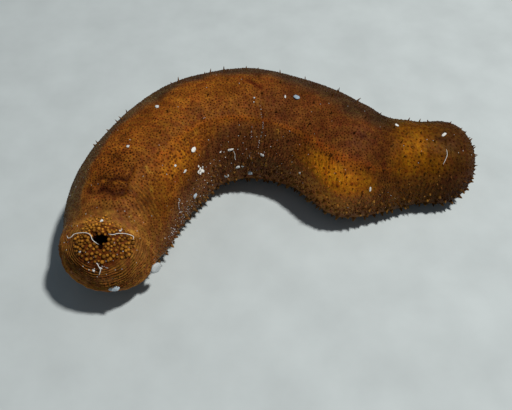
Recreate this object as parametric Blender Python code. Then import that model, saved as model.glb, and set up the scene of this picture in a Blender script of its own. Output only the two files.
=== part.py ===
"""A sea cucumber at life size, lying on its sole in a bent pose.

The body is one long tube of thick skin. It is lofted through stations along the middle of the
sole, closed by two rounded ends, and parted by thin cuts into five lengths. The rear end is
raised a little and has the vent near its top, ringed by round tubercles. The front end has the
mouth low down, with a crown of short tentacles drawn back into it. Pointed papillae stand all
over the back and in a fringe along both edges of the sole.
"""

import bisect
import math
import random
from collections import namedtuple

import bmesh
import bpy
from mathutils import Vector

MM = 0.001
UP = Vector((0.0, 0.0, 1.0))

# The middle of the sole, from the rear end to the front end: x and y in millimetres.
PATH = (
    (-77.1, -97.0),
    (-74.7, -82.4),
    (-70.9, -62.0),
    (-57.7, -36.0),
    (-34.7, -9.4),
    (-1.0, 0.4),
    (34.2, -8.6),
    (60.9, -29.8),
    (80.3, -30.3),
    (97.5, -27.0),
    (115.1, -25.8),
)

# The body over each of those stations, in millimetres: half its width, the height of the back,
# and how far the sole is lifted off the floor.
GIRTH = (
    (25.8, 51.0, 9.0),
    (29.7, 53.6, 5.0),
    (33.2, 57.8, 2.0),
    (34.6, 60.5, 0.0),
    (34.7, 60.7, 0.0),
    (34.6, 60.4, 0.0),
    (33.4, 57.8, 0.0),
    (35.3, 58.2, 0.0),
    (28.8, 50.3, 0.0),
    (25.2, 45.6, 0.0),
    (25.0, 44.3, 0.0),
)

# The cross-section: where it is widest, as a share of its height, how square its lower half is,
# and how far the resting sole is pressed flat.
WIDEST_AT = 0.42
LOWER_POWER = 2.8
ROUND_POWER = 2.0
SOLE_PRESS = 1.2 * MM

# The cuts between the lengths of the body, as distances along the path, and their width.
CUTS = (38.0 * MM, 98.0 * MM, 158.0 * MM, 219.0 * MM)
CUT_WIDTH = 0.3 * MM

# How finely the skin is faceted.
RING_SPACING = 4.0 * MM
RING_POINTS = 40
END_RINGS = 10
STEPS_PER_STATION = 100

# The rounded ends: how far each reaches past its last station, the tilt of its opening above
# the horizontal, the half angle of that opening, and its inner profile as shares of the rim's
# radius with depths. The vent lies a little to the animal's right.
REAR_REACH = 22.5 * MM
FRONT_REACH = 22.0 * MM
VENT_TILT = math.radians(66.0)
VENT_TO_RIGHT = math.radians(6.0)
MOUTH_TILT = math.radians(-40.0)
VENT_HALF_ANGLE = math.radians(10.5)
MOUTH_HALF_ANGLE = math.radians(21.0)
VENT_PROFILE = ((0.93, 0.7 * MM), (0.80, 2.2 * MM), (0.62, 5.0 * MM), (0.42, 8.5 * MM))
MOUTH_PROFILE = ((0.94, 0.9 * MM), (0.90, 2.6 * MM), (0.88, 5.5 * MM))

# The vent lies between two low cushions of skin.
CUSHION_HEIGHT = 0.07
CUSHION_SPREAD = math.radians(20.0)
CUSHION_FROM_VENT = math.radians(26.0)
CUSHION_TURN = math.radians(52.0)

# The tubercles: rings of low domes round the vent, as angles from it, with how many stand in each.
TUBERCLE_RINGS = (
    (math.radians(17.0), 12),
    (math.radians(25.0), 17),
    (math.radians(33.0), 22),
    (math.radians(41.0), 14),
)
TUBERCLE_RADIUS = 1.25 * MM
TUBERCLE_SINK = 0.45 * MM
TUBERCLE_SEGMENTS = 6
TUBERCLE_BANDS = 3
OUTERMOST_TURN = math.radians(105.0)

# The papillae of the back: thin pointed cones, closer together on the front end. Spots are drawn
# at random, and one is kept where it is far enough apart from those kept before it.
PAPILLA_TRIES = 3000
APART_ON_BACK = 9.0 * MM
APART_ON_FRONT = 7.0 * MM
PAPILLA_LENGTH = (2.4 * MM, 3.8 * MM)
PAPILLA_BASE = 1.7 * MM
PAPILLA_ROOT = 1.1 * MM
PAPILLA_SIDES = 5
PAPILLA_LEAN = 0.2
BACK_FROM = math.radians(-8.0)
BACK_TO = math.radians(188.0)
MOUTH_MARGIN = math.radians(38.0)
VENT_MARGIN = math.radians(50.0)
LOWEST_ON_END = -0.2

# The fringe: two rows of stouter cones along each edge of the sole and round the ends, as angles
# below the widest part of the body with a shift of each row by a share of the spacing.
FRINGE_ROWS = ((math.radians(-36.0), 0.0), (math.radians(-22.0), 0.5))
FRINGE_SPACING = 7.0 * MM
FRINGE_APART = 4.6 * MM
FRINGE_JITTER = 1.4 * MM
FRINGE_LENGTH = (2.2 * MM, 3.2 * MM)
FRINGE_BASE = 1.9 * MM
END_FRINGE_COUNT = 12

# How clear a cone stays of the cuts and of the floor, and how far away a cut no longer matters.
CUT_CLEARANCE = 0.4 * MM
FLOOR_CLEARANCE = 0.4 * MM
CUT_REACH = 60.0 * MM

# Small steps along the skin, from which its normal is found, and the seed of the random draws.
NUDGE = 0.2 * MM
NUDGE_ANGLE = 0.01
SEED = 7

# The crown of tentacles, drawn back into the mouth: a low dome, with rings of round heads on it,
# each given as a share of the pit's width, how many stand in it and how far they rise.
CROWN_GAP = 0.3 * MM
CROWN_PROFILE = ((0.0, 0.90), (1.6 * MM, 0.90), (2.6 * MM, 0.60))
HEAD_RINGS = ((0.66, 13, 2.7 * MM), (0.34, 6, 3.2 * MM), (0.0, 1, 3.4 * MM))
HEAD_RADIUS = 1.0 * MM
HEAD_SEGMENTS = 6
HEAD_BANDS = 4

# The colours of moist skin and tentacles, their roughness, and the angle past which an edge shows.
REAR_COLOUR = (0.22, 0.10, 0.025)
DARK_COLOUR = (0.24, 0.09, 0.02)
GOLDEN_COLOUR = (0.30, 0.13, 0.02)
TENTACLE_COLOUR = (0.10, 0.045, 0.015)
SKIN_ROUGHNESS = 0.5
SHARP_ANGLE = math.radians(50.0)

Section = namedtuple("Section", "middle ahead side half_width above below")
End = namedtuple("End", "section distance out reach opening half_angle bare_angle profile cushions")
Spot = namedtuple("Spot", "point normal distance")


def slope(rows, index):
    """How fast each value of the rows changes at one station."""
    before = max(index - 1, 0)
    after = min(index + 1, len(rows) - 1)
    return [(b - a) / (after - before) for a, b in zip(rows[before], rows[after])]


def between(rows, place, level_ends):
    """The values at a place between stations, on a smooth curve through all the rows."""
    last = len(rows) - 1
    first = min(int(place), last - 1)
    part = place - first
    slope_in = slope(rows, first)
    slope_out = slope(rows, first + 1)
    if level_ends and first == 0:
        slope_in = [0.0] * len(slope_in)
    if level_ends and first + 1 == last:
        slope_out = [0.0] * len(slope_out)
    square = part * part
    cube = square * part
    return [
        (2 * cube - 3 * square + 1) * start
        + (cube - 2 * square + part) * start_slope
        + (3 * square - 2 * cube) * end
        + (cube - square) * end_slope
        for start, end, start_slope, end_slope in zip(
            rows[first], rows[first + 1], slope_in, slope_out
        )
    ]


def headings():
    """The way the body points at each station, evened out so that no two rings cross."""
    raw = [math.atan2(*reversed(slope(PATH, index))) for index in range(len(PATH))]
    inner = [
        (before + 2 * here + after) / 4
        for before, here, after in zip(raw, raw[1:], raw[2:])
    ]
    return [(angle,) for angle in [raw[0], *inner, raw[-1]]]


HEADINGS = headings()


def path_point(place):
    """The middle of the sole at a place between stations."""
    x, y = between(PATH, place, level_ends=False)
    return Vector((x, y, 0.0)) * MM


def measure_path():
    """Places in small steps along the path, with the distance walked to each."""
    places = [step / STEPS_PER_STATION for step in range(STEPS_PER_STATION * (len(PATH) - 1) + 1)]
    distances = [0.0]
    for start, end in zip(places, places[1:]):
        distances.append(distances[-1] + (path_point(end) - path_point(start)).length)
    return places, distances


PLACES, DISTANCES = measure_path()
PATH_LENGTH = DISTANCES[-1]


def place_at(distance):
    """The place between stations at a distance along the path."""
    distance = min(max(distance, 0.0), PATH_LENGTH)
    after = min(max(bisect.bisect_left(DISTANCES, distance), 1), len(DISTANCES) - 1)
    start, end = DISTANCES[after - 1], DISTANCES[after]
    return PLACES[after - 1] + (distance - start) / (end - start) / STEPS_PER_STATION


def section_at(distance):
    """The body's cross-section at a distance along the path."""
    place = place_at(distance)
    half_width, back, lift = (value * MM for value in between(GIRTH, place, level_ends=True))
    (heading,) = between(HEADINGS, place, level_ends=False)
    ahead = Vector((math.cos(heading), math.sin(heading), 0.0))
    widest = lift + WIDEST_AT * (back - lift)
    middle = path_point(place) + UP * widest
    return Section(middle, ahead, UP.cross(ahead), half_width, back - widest, widest - lift + SOLE_PRESS)


def outline_point(section, angle, lower_power):
    """A point of a cross-section's outline: how far to the side and how far up from its middle."""
    across = math.cos(angle)
    up = math.sin(angle)
    if up >= 0.0:
        return section.half_width * across, section.above * up
    squareness = 2.0 / lower_power
    side = math.copysign(abs(across) ** squareness, across)
    return section.half_width * side, -section.below * abs(up) ** squareness


def laid_on_floor(point):
    """The point itself, or the floor under the animal where the sole is pressed flat."""
    return Vector((point.x, point.y, max(point.z, 0.0)))


def trunk_point(section, angle):
    """A point of the skin between the two rounded ends."""
    side, up = outline_point(section, angle, LOWER_POWER)
    return laid_on_floor(section.middle + section.side * side + UP * up)


def cushion_swell(end, direction):
    """How much the cushions beside the vent push the skin out, as a share of its distance."""
    return sum(
        CUSHION_HEIGHT * math.exp(-((direction.angle(cushion) / CUSHION_SPREAD) ** 2))
        for cushion in end.cushions
    )


def end_point(end, direction):
    """A point of a rounded end's skin in a direction from its middle: side, out and up."""
    spread = math.hypot(direction.x, direction.z)
    angle = math.atan2(direction.z, direction.x)
    power = LOWER_POWER + (ROUND_POWER - LOWER_POWER) * direction.y
    side, up = outline_point(end.section, angle, power)
    across = end.section.side * (side * spread)
    outward = end.out * (end.reach * direction.y)
    offset = across + outward + UP * (up * spread)
    return laid_on_floor(end.section.middle + offset * (1.0 + cushion_swell(end, direction)))


def turned_towards(start, goal, turn):
    """A direction, turned from start towards goal by an angle."""
    axis = start.cross(goal).normalized()
    square = axis.cross(start)
    return start * math.cos(turn) + square * math.sin(turn)


def around(pole, half_angle, turn):
    """The direction at an angle from a pole, on the bearing turn from the side of it that is up."""
    upward = (UP - pole * pole.dot(UP)).normalized()
    sideways = upward.cross(pole)
    bearing = upward * math.cos(turn) + sideways * math.sin(turn)
    return pole * math.cos(half_angle) + bearing * math.sin(half_angle)


def rear_end():
    """The rear end, with the vent near its top and a cushion on each side below the vent."""
    section = section_at(0.0)
    in_line = math.cos(VENT_TO_RIGHT)
    vent = Vector(
        (-math.sin(VENT_TO_RIGHT), in_line * math.cos(VENT_TILT), in_line * math.sin(VENT_TILT))
    )
    cushions = [
        around(vent, CUSHION_FROM_VENT, math.pi + side * CUSHION_TURN) for side in (-1, 1)
    ]
    return End(
        section=section,
        distance=0.0,
        out=-section.ahead,
        reach=REAR_REACH,
        opening=vent,
        half_angle=VENT_HALF_ANGLE,
        bare_angle=VENT_MARGIN,
        profile=VENT_PROFILE,
        cushions=cushions,
    )


def front_end():
    """The front end, with the mouth low down."""
    section = section_at(PATH_LENGTH)
    mouth = Vector((0.0, math.cos(MOUTH_TILT), math.sin(MOUTH_TILT)))
    return End(
        section=section,
        distance=PATH_LENGTH,
        out=section.ahead,
        reach=FRONT_REACH,
        opening=mouth,
        half_angle=MOUTH_HALF_ANGLE,
        bare_angle=MOUTH_MARGIN,
        profile=MOUTH_PROFILE,
        cushions=[],
    )


def ring_angles():
    """The angles of a ring's points, round the cross-section."""
    return [2 * math.pi * index / RING_POINTS for index in range(RING_POINTS)]


def trunk_rings(start, end):
    """The rings of one length of the body, shortened by half a cut at each end."""
    count = max(round((end - start) / RING_SPACING), 2)
    rings = []
    for index in range(count + 1):
        section = section_at(start + (end - start) * index / count)
        shift = section.ahead * (CUT_WIDTH / 2 * ((index == 0) - (index == count)))
        rings.append([trunk_point(section, angle) + shift for angle in ring_angles()])
    return rings


def rim_of(end):
    """The rim of an opening: its points, their middle and the direction into the body."""
    points = [end_point(end, around(end.opening, end.half_angle, angle)) for angle in ring_angles()]
    middle = sum(points, Vector()) / len(points)
    inward = (points[0] - middle).cross(points[RING_POINTS // 4] - middle).normalized()
    if inward.dot(end.section.middle - middle) < 0.0:
        inward = -inward
    return points, middle, inward


def flat_ring(points, middle, inward, share, depth, relief=0.0):
    """The rim's points drawn together and let into the body, with a share of their own relief."""
    ring = []
    for point in points:
        offset = point - middle
        raised = inward * offset.dot(inward)
        ring.append(middle + (offset - raised) * share + raised * relief + inward * depth)
    return ring


def end_rings(end):
    """The rings of a rounded end, from its last cross-section to the bottom of its opening."""
    rings = []
    for index in range(1, END_RINGS + 1):
        ring = []
        for angle in ring_angles():
            start = Vector((math.cos(angle), 0.0, math.sin(angle)))
            turn = (start.angle(end.opening) - end.half_angle) * index / END_RINGS
            ring.append(end_point(end, turned_towards(start, end.opening, turn)))
        rings.append(ring)
    _, middle, inward = rim_of(end)
    deepest = end.profile[-1][1]
    for share, depth in end.profile:
        relief = 1.0 - depth / deepest
        rings.append(flat_ring(rings[END_RINGS - 1], middle, inward, share, depth, relief))
    return rings


def loft(name, rings):
    """A closed solid through rings of points, with a fan of faces over each end."""
    shape = bmesh.new()
    loops = [[shape.verts.new(point) for point in ring] for ring in rings]
    for lower, upper in zip(loops, loops[1:]):
        for index in range(len(lower)):
            after = (index + 1) % len(lower)
            shape.faces.new((lower[index], lower[after], upper[after], upper[index]))
    for loop in (loops[0], loops[-1]):
        hub = shape.verts.new(sum((vert.co for vert in loop), Vector()) / len(loop))
        for index in range(len(loop)):
            shape.faces.new((loop[index], loop[(index + 1) % len(loop)], hub))
    bmesh.ops.recalc_face_normals(shape, faces=shape.faces)
    mesh = bpy.data.meshes.new(name)
    shape.to_mesh(mesh)
    shape.free()
    return bpy.data.objects.new(name, mesh)


def trunk_spot(distance, angle):
    """A spot on the skin between the rounded ends: its point and the skin's outward normal."""
    here = trunk_point(section_at(distance), angle)
    ahead = trunk_point(section_at(distance + NUDGE), angle) - here
    onward = trunk_point(section_at(distance), angle + NUDGE_ANGLE) - here
    return Spot(here, onward.cross(ahead).normalized(), distance)


def end_spot(end, direction):
    """A spot on a rounded end: its point and the skin's outward normal."""
    here = end_point(end, direction)
    first = direction.orthogonal().normalized()
    second = direction.cross(first)
    along_first = end_point(end, (direction + first * NUDGE_ANGLE).normalized()) - here
    along_second = end_point(end, (direction + second * NUDGE_ANGLE).normalized()) - here
    normal = along_first.cross(along_second).normalized()
    if normal.dot(here - end.section.middle) < 0.0:
        normal = -normal
    return Spot(here, normal, end.distance)


def cut_planes():
    """A point and a direction ahead for each cut."""
    sections = [section_at(distance) for distance in CUTS]
    return [(section.middle, section.ahead) for section in sections]


CUT_PLANES = cut_planes()


def clears_cuts(root, tip, margin):
    """Whether both ends of a cone lie on one side of every cut near it, by a margin."""
    for middle, ahead in CUT_PLANES:
        if (root - middle).length > CUT_REACH:
            continue
        root_side = (root - middle).dot(ahead)
        tip_side = (tip - middle).dot(ahead)
        if root_side * tip_side < 0.0 or min(abs(root_side), abs(tip_side)) < margin:
            return False
    return True


def stood_on(mesh, spot_point, along):
    """An object with a mesh stood on a point of the skin."""
    piece = bpy.data.objects.new(mesh.name, mesh)
    piece.location = spot_point
    piece.rotation_mode = "QUATERNION"
    piece.rotation_quaternion = along.to_track_quat("Z", "Y")
    return piece


def pointed_cone(spot, along, length, base):
    """A papilla: a cone on the skin with its root sunk in, or nothing where it has no room."""
    tip = spot.point + along * length
    root = spot.point - along * PAPILLA_ROOT
    if not clears_cuts(root, tip, base / 2 + CUT_CLEARANCE) or tip.z < FLOOR_CLEARANCE:
        return None
    depth = length + PAPILLA_ROOT
    shape = bmesh.new()
    bmesh.ops.create_cone(
        shape, cap_ends=True, segments=PAPILLA_SIDES, radius1=base / 2, radius2=0.0, depth=depth
    )
    bmesh.ops.translate(shape, vec=(0.0, 0.0, depth / 2 - PAPILLA_ROOT), verts=shape.verts)
    mesh = bpy.data.meshes.new("papilla")
    shape.to_mesh(mesh)
    shape.free()
    return stood_on(mesh, spot.point, along)


def random_end_spot(end, chance):
    """A spot drawn at random on a rounded end, or nothing where papillae don't grow."""
    out = chance.random()
    angle = chance.uniform(-math.pi, math.pi)
    ring = math.sqrt(1.0 - out * out)
    direction = Vector((math.cos(angle) * ring, out, math.sin(angle) * ring))
    if direction.angle(end.opening) < end.bare_angle or direction.z < LOWEST_ON_END:
        return None
    return end_spot(end, direction)


def random_spot(ends, chance):
    """A spot drawn at random on the back, the flanks or a rounded end."""
    rear, front = ends
    distance = chance.uniform(-REAR_REACH, PATH_LENGTH + FRONT_REACH)
    if distance < 0.0:
        return random_end_spot(rear, chance)
    if distance > PATH_LENGTH - NUDGE:
        return random_end_spot(front, chance)
    return trunk_spot(distance, chance.uniform(BACK_FROM, BACK_TO))


def back_papillae(ends, chance):
    """The papillae of the back, evenly scattered, with the distance along the path of each."""
    papillae = []
    kept = []
    for _ in range(PAPILLA_TRIES):
        spot = random_spot(ends, chance)
        if spot is None:
            continue
        apart = APART_ON_FRONT if spot.distance > CUTS[-1] else APART_ON_BACK
        if any((spot.point - other).length < apart for other in kept):
            continue
        lean = Vector([chance.uniform(-PAPILLA_LEAN, PAPILLA_LEAN) for _ in range(3)])
        along = (spot.normal + lean).normalized()
        cone = pointed_cone(spot, along, chance.uniform(*PAPILLA_LENGTH), PAPILLA_BASE)
        if cone is not None:
            kept.append(spot.point)
            papillae.append((spot.distance, cone))
    return papillae


def fringe_spots(ends, chance):
    """Spots in rows along both edges of the sole and round both ends."""
    for angle, shift in FRINGE_ROWS:
        for side_angle in (angle, math.pi - angle):
            for index in range(int(PATH_LENGTH / FRINGE_SPACING)):
                distance = (index + shift + 0.25) * FRINGE_SPACING
                yield trunk_spot(distance + chance.uniform(-FRINGE_JITTER, FRINGE_JITTER), side_angle)
        for end in ends:
            for index in range(END_FRINGE_COUNT):
                turn = math.pi * (index + 0.5) / END_FRINGE_COUNT
                low = math.cos(angle)
                direction = Vector((math.cos(turn) * low, math.sin(turn) * low, math.sin(angle)))
                if direction.angle(end.opening) > end.bare_angle:
                    yield end_spot(end, direction)


def fringe(ends, chance):
    """The cones of the fringe, pointing outwards, with the distance along the path of each."""
    cones = []
    kept = []
    for spot in fringe_spots(ends, chance):
        if any((spot.point - other).length < FRINGE_APART for other in kept):
            continue
        outward = Vector((spot.normal.x, spot.normal.y, 0.0)).normalized()
        along = (spot.normal + outward).normalized()
        cone = pointed_cone(spot, along, chance.uniform(*FRINGE_LENGTH), FRINGE_BASE)
        if cone is not None:
            kept.append(spot.point)
            cones.append((spot.distance, cone))
    return cones


def low_dome(name, radius, segments, bands):
    """The mesh of a small round dome."""
    shape = bmesh.new()
    bmesh.ops.create_uvsphere(shape, u_segments=segments, v_segments=bands, radius=radius)
    mesh = bpy.data.meshes.new(name)
    shape.to_mesh(mesh)
    shape.free()
    return mesh


def tubercles(end):
    """The round tubercles in rings about the vent, fewest above it."""
    domes = []
    for ring, (from_vent, count) in enumerate(TUBERCLE_RINGS):
        reach = math.pi if ring + 1 < len(TUBERCLE_RINGS) else OUTERMOST_TURN
        for index in range(count):
            turn = math.pi + reach * (2 * (index + 0.5 * (ring % 2)) / count - 1)
            spot = end_spot(end, around(end.opening, from_vent, turn))
            mesh = low_dome("tubercle", TUBERCLE_RADIUS, TUBERCLE_SEGMENTS, TUBERCLE_BANDS)
            domes.append(stood_on(mesh, spot.point - spot.normal * TUBERCLE_SINK, spot.normal))
    return domes


def largest_surface(mesh):
    """Keep only the largest closed surface of a mesh."""
    shape = bmesh.new()
    shape.from_mesh(mesh)
    waiting = set(shape.verts)
    surfaces = []
    while waiting:
        surface = [waiting.pop()]
        for vert in surface:
            for edge in vert.link_edges:
                other = edge.other_vert(vert)
                if other in waiting:
                    waiting.remove(other)
                    surface.append(other)
        surfaces.append(surface)
    surfaces.sort(key=len)
    for surface in surfaces[:-1]:
        bmesh.ops.delete(shape, geom=surface, context="VERTS")
    shape.to_mesh(mesh)
    shape.free()


def fuse(node, pieces):
    """Join the pieces that grow from a node to it, as one closed body."""
    group = bpy.data.collections.new(node.name + "_pieces")
    bpy.context.scene.collection.children.link(group)
    for piece in pieces:
        group.objects.link(piece)
    union = node.modifiers.new("join", "BOOLEAN")
    union.operation = "UNION"
    union.operand_type = "COLLECTION"
    union.collection = group
    union.solver = "MANIFOLD"
    depsgraph = bpy.context.evaluated_depsgraph_get()
    joined = bpy.data.meshes.new_from_object(node.evaluated_get(depsgraph), depsgraph=depsgraph)
    node.modifiers.clear()
    node.data = joined
    for piece in pieces:
        bpy.data.objects.remove(piece)
    bpy.data.collections.remove(group)
    largest_surface(joined)


def crown_of_tentacles(end):
    """The base of the tentacles, a low dome in the mouth, clear of its wall and floor."""
    points, middle, inward = rim_of(end)
    pit_share, pit_depth = end.profile[-1]
    rings = []
    for rise, width in CROWN_PROFILE:
        rings.append(flat_ring(points, middle, inward, pit_share * width, pit_depth - CROWN_GAP - rise))
    return loft("mouth_tentacles", rings)


def tentacle_heads(end):
    """The round heads of the tentacles, in two rings on their base."""
    _, middle, inward = rim_of(end)
    pit_share, pit_depth = end.profile[-1]
    heads = []
    for share, count, rise in HEAD_RINGS:
        turns = [2 * math.pi * index / count for index in range(count)]
        rim = [end_point(end, around(end.opening, end.half_angle, turn)) for turn in turns]
        depth = pit_depth - CROWN_GAP - rise
        for point in flat_ring(rim, middle, inward, pit_share * share, depth):
            mesh = low_dome("head", HEAD_RADIUS, HEAD_SEGMENTS, HEAD_BANDS)
            heads.append(stood_on(mesh, point, -inward))
    return heads


def skin_material(name, colour, roughness):
    """A moist skin in one colour."""
    material = bpy.data.materials.new(name)
    material.use_nodes = True
    shader = material.node_tree.nodes["Principled BSDF"]
    shader.inputs["Base Color"].default_value = (*colour, 1.0)
    shader.inputs["Roughness"].default_value = roughness
    shader.inputs["Metallic"].default_value = 0.0
    return material


def dress(node, colour, roughness):
    """Colour a node and shade its round skin smooth."""
    node.data.materials.clear()
    node.data.materials.append(skin_material(node.name + "_skin", colour, roughness))
    node.data.shade_smooth()
    node.data.set_sharp_from_angle(angle=SHARP_ANGLE)


def build():
    """Make every part of the animal."""
    for old in list(bpy.data.objects):
        bpy.data.objects.remove(old)
    animal = bpy.data.collections.new("sea_cucumber")
    bpy.context.scene.collection.children.link(animal)
    rear = rear_end()
    front = front_end()
    first_cut, second_cut, third_cut, last_cut = CUTS
    rear_rings = trunk_rings(-CUT_WIDTH / 2, first_cut)
    front_rings = trunk_rings(last_cut, PATH_LENGTH)
    lengths = (
        ("vent_end", [*reversed(end_rings(rear)), *rear_rings], REAR_COLOUR),
        ("hind_body", trunk_rings(first_cut, second_cut), GOLDEN_COLOUR),
        ("mid_body", trunk_rings(second_cut, third_cut), DARK_COLOUR),
        ("fore_body", trunk_rings(third_cut, last_cut), GOLDEN_COLOUR),
        ("mouth_end", [*front_rings, *end_rings(front)], GOLDEN_COLOUR),
    )
    chance = random.Random(SEED)
    growths = back_papillae((rear, front), chance) + fringe((rear, front), chance)
    bounds = (-REAR_REACH, *CUTS, PATH_LENGTH + FRONT_REACH)
    for (name, rings, colour), start, end in zip(lengths, bounds, bounds[1:]):
        node = loft(name, rings)
        animal.objects.link(node)
        pieces = [cone for distance, cone in growths if start < distance <= end]
        if name == "vent_end":
            pieces += tubercles(rear)
        fuse(node, pieces)
        dress(node, colour, SKIN_ROUGHNESS)
    crown = crown_of_tentacles(front)
    animal.objects.link(crown)
    fuse(crown, tentacle_heads(front))
    dress(crown, TENTACLE_COLOUR, SKIN_ROUGHNESS)


build()
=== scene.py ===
"""The looks of the sea cucumber: its skin, all that grows from it, and the bits stuck to it.

Lengths that end in MM are in metres, and angles round the body are in degrees: 0 is the outer
side of the bend, 90 the top of the back, 180 the inner side and 270 the middle of the sole.
"""

import math

import bmesh
import bpy
import numpy as np
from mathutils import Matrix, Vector


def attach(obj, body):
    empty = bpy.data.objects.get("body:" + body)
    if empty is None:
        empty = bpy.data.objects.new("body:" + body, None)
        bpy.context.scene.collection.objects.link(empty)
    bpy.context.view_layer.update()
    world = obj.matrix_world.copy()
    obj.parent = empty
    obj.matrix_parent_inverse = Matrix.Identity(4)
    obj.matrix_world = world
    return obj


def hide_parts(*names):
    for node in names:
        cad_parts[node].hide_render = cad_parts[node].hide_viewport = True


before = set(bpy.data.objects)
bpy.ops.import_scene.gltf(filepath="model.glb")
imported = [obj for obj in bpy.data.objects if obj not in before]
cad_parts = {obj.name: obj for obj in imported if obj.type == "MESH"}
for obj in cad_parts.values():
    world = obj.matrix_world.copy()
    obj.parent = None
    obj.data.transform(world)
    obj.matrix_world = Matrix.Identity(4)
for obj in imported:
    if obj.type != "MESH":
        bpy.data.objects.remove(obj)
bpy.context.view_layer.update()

# The camera. It stands on the side that the animal bends round and looks down on it, near
# enough that the raised rear end looks larger than the far side of the bend.
CAMERA_DIP = math.radians(52.0)
CAMERA_DISTANCE = 0.400
CAMERA_AIM = Vector((0.003, -0.045, 0.0))
CAMERA_LENS = 45.0

camera_back = Vector((0.0, -math.cos(CAMERA_DIP), math.sin(CAMERA_DIP)))
camera_data = bpy.data.cameras.new("camera")
camera_data.lens = CAMERA_LENS
camera_data.clip_start = 0.01
camera = bpy.data.objects.new("camera", camera_data)
camera.location = CAMERA_AIM + camera_back * CAMERA_DISTANCE
camera.rotation_mode = "QUATERNION"
camera.rotation_quaternion = camera_back.to_track_quat("Z", "Y")
bpy.context.scene.collection.objects.link(camera)
bpy.context.scene.camera = camera

# The floor and the light. A plain pale floor, one soft lamp nearly overhead and a little to the
# right, as the sun stood, and a weak cool light from all round.
FLOOR_SIZE = 6.0
FLOOR_DEPTH = 0.0003
FLOOR_COLOUR = (0.52, 0.565, 0.57)
FLOOR_MOTTLE = 0.06
FLOOR_MOTTLE_SCALE = 30.0
LAMP_FROM = Vector((0.40, -0.05, 1.0)).normalized()
LAMP_DISTANCE = 1.6
LAMP_SIZE = 0.14
LAMP_POWER = 24.0
LAMP_COLOUR = (1.0, 0.985, 0.95)
SKY_COLOUR = (0.72, 0.86, 1.0)
SKY_STRENGTH = 0.13
NOISE_RANGE = (0.3, 0.7)


def blank_material(name, roughness, specular):
    """A new material with its node tree, its shader and its links."""
    material = bpy.data.materials.new(name)
    material.use_nodes = True
    tree = material.node_tree
    shader = tree.nodes["Principled BSDF"]
    shader.inputs["Roughness"].default_value = roughness
    shader.inputs["Specular IOR Level"].default_value = specular
    return material, tree.nodes, tree.links, shader


def add_node(nodes, links, kind, settings, sources):
    """A new node with the values of some of its inputs and what feeds others."""
    node = nodes.new("ShaderNode" + kind)
    for socket, value in settings.items():
        node.inputs[socket].default_value = value
    for socket, source in sources.items():
        links.new(source, node.inputs[socket])
    return node


def noise_node(nodes, links, source, scale, detail):
    """A noise texture at a scale per metre, read from a vector output."""
    settings = {"Scale": scale, "Detail": detail}
    return add_node(nodes, links, "TexNoise", settings, {"Vector": source}).outputs["Fac"]


def spread_node(nodes, links, source, low, high):
    """A 0 to 1 noise value stretched about its middle to the range from low to high."""
    settings = dict(zip(("From Min", "From Max", "To Min", "To Max"), (*NOISE_RANGE, low, high)))
    return add_node(nodes, links, "MapRange", settings, {"Value": source}).outputs["Result"]


def scale_colour(nodes, links, colour, factor):
    """A colour made lighter or darker by a value."""
    scale = add_node(nodes, links, "VectorMath", {}, {})
    scale.operation = "SCALE"
    links.new(colour, scale.inputs[0])
    links.new(factor, scale.inputs["Scale"])
    return scale.outputs["Vector"]


floor_mesh = bpy.data.meshes.new("floor")
half_floor = FLOOR_SIZE / 2
floor_mesh.from_pydata(
    [
        (across * half_floor, along * half_floor, -FLOOR_DEPTH)
        for across, along in ((-1, -1), (1, -1), (1, 1), (-1, 1))
    ],
    [],
    [(0, 1, 2, 3)],
)
floor = bpy.data.objects.new("floor", floor_mesh)
bpy.context.scene.collection.objects.link(floor)
material, nodes, links, shader = blank_material("pale_floor", 0.9, 0.1)
coordinates = nodes.new("ShaderNodeTexCoord").outputs["Object"]
floor_colour = nodes.new("ShaderNodeRGB").outputs[0]
floor_colour.default_value = (*FLOOR_COLOUR, 1.0)
cloudy = noise_node(nodes, links, coordinates, FLOOR_MOTTLE_SCALE, 6.0)
mottle = spread_node(nodes, links, cloudy, 1 - FLOOR_MOTTLE, 1 + FLOOR_MOTTLE)
links.new(scale_colour(nodes, links, floor_colour, mottle), shader.inputs["Base Color"])
floor_mesh.materials.append(material)

lamp_data = bpy.data.lights.new("lamp", "AREA")
lamp_data.shape = "DISK"
lamp_data.size = LAMP_SIZE
lamp_data.energy = LAMP_POWER
lamp_data.color = LAMP_COLOUR
lamp = bpy.data.objects.new("lamp", lamp_data)
lamp.location = LAMP_FROM * LAMP_DISTANCE
lamp.rotation_mode = "QUATERNION"
lamp.rotation_quaternion = LAMP_FROM.to_track_quat("Z", "Y")
bpy.context.scene.collection.objects.link(lamp)
sky = bpy.data.worlds.new("sky")
sky.use_nodes = True
sky.node_tree.nodes["Background"].inputs["Color"].default_value = (*SKY_COLOUR, 1.0)
sky.node_tree.nodes["Background"].inputs["Strength"].default_value = SKY_STRENGTH
bpy.context.scene.world = sky
bpy.context.scene.view_settings.view_transform = "Standard"

# The skin. In life it is one thick, soft, moist tube of collagen with no seam, here laid through
# the solids' own stations and closed by the two rounded ends, then wrinkled and coloured. It
# stands for all five lengths of the solid body.
MM = 0.001
PATH = (
    (-77.1, -97.0),
    (-74.7, -82.4),
    (-70.9, -62.0),
    (-57.7, -36.0),
    (-34.7, -9.4),
    (-1.0, 0.4),
    (34.2, -8.6),
    (60.9, -29.8),
    (80.3, -30.3),
    (97.5, -27.0),
    (115.1, -25.8),
)
GIRTH = (
    (25.8, 51.0, 9.0),
    (29.7, 53.6, 5.0),
    (33.2, 57.8, 2.0),
    (34.6, 60.5, 0.0),
    (34.7, 60.7, 0.0),
    (34.6, 60.4, 0.0),
    (33.4, 57.8, 0.0),
    (35.3, 58.2, 0.0),
    (28.8, 50.3, 0.0),
    (25.2, 45.6, 0.0),
    (25.0, 44.3, 0.0),
)
WIDEST_AT = 0.42
LOWER_POWER = 2.8
ROUND_POWER = 2.0
SOLE_PRESS = 1.2
REAR_REACH = 22.5
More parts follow.
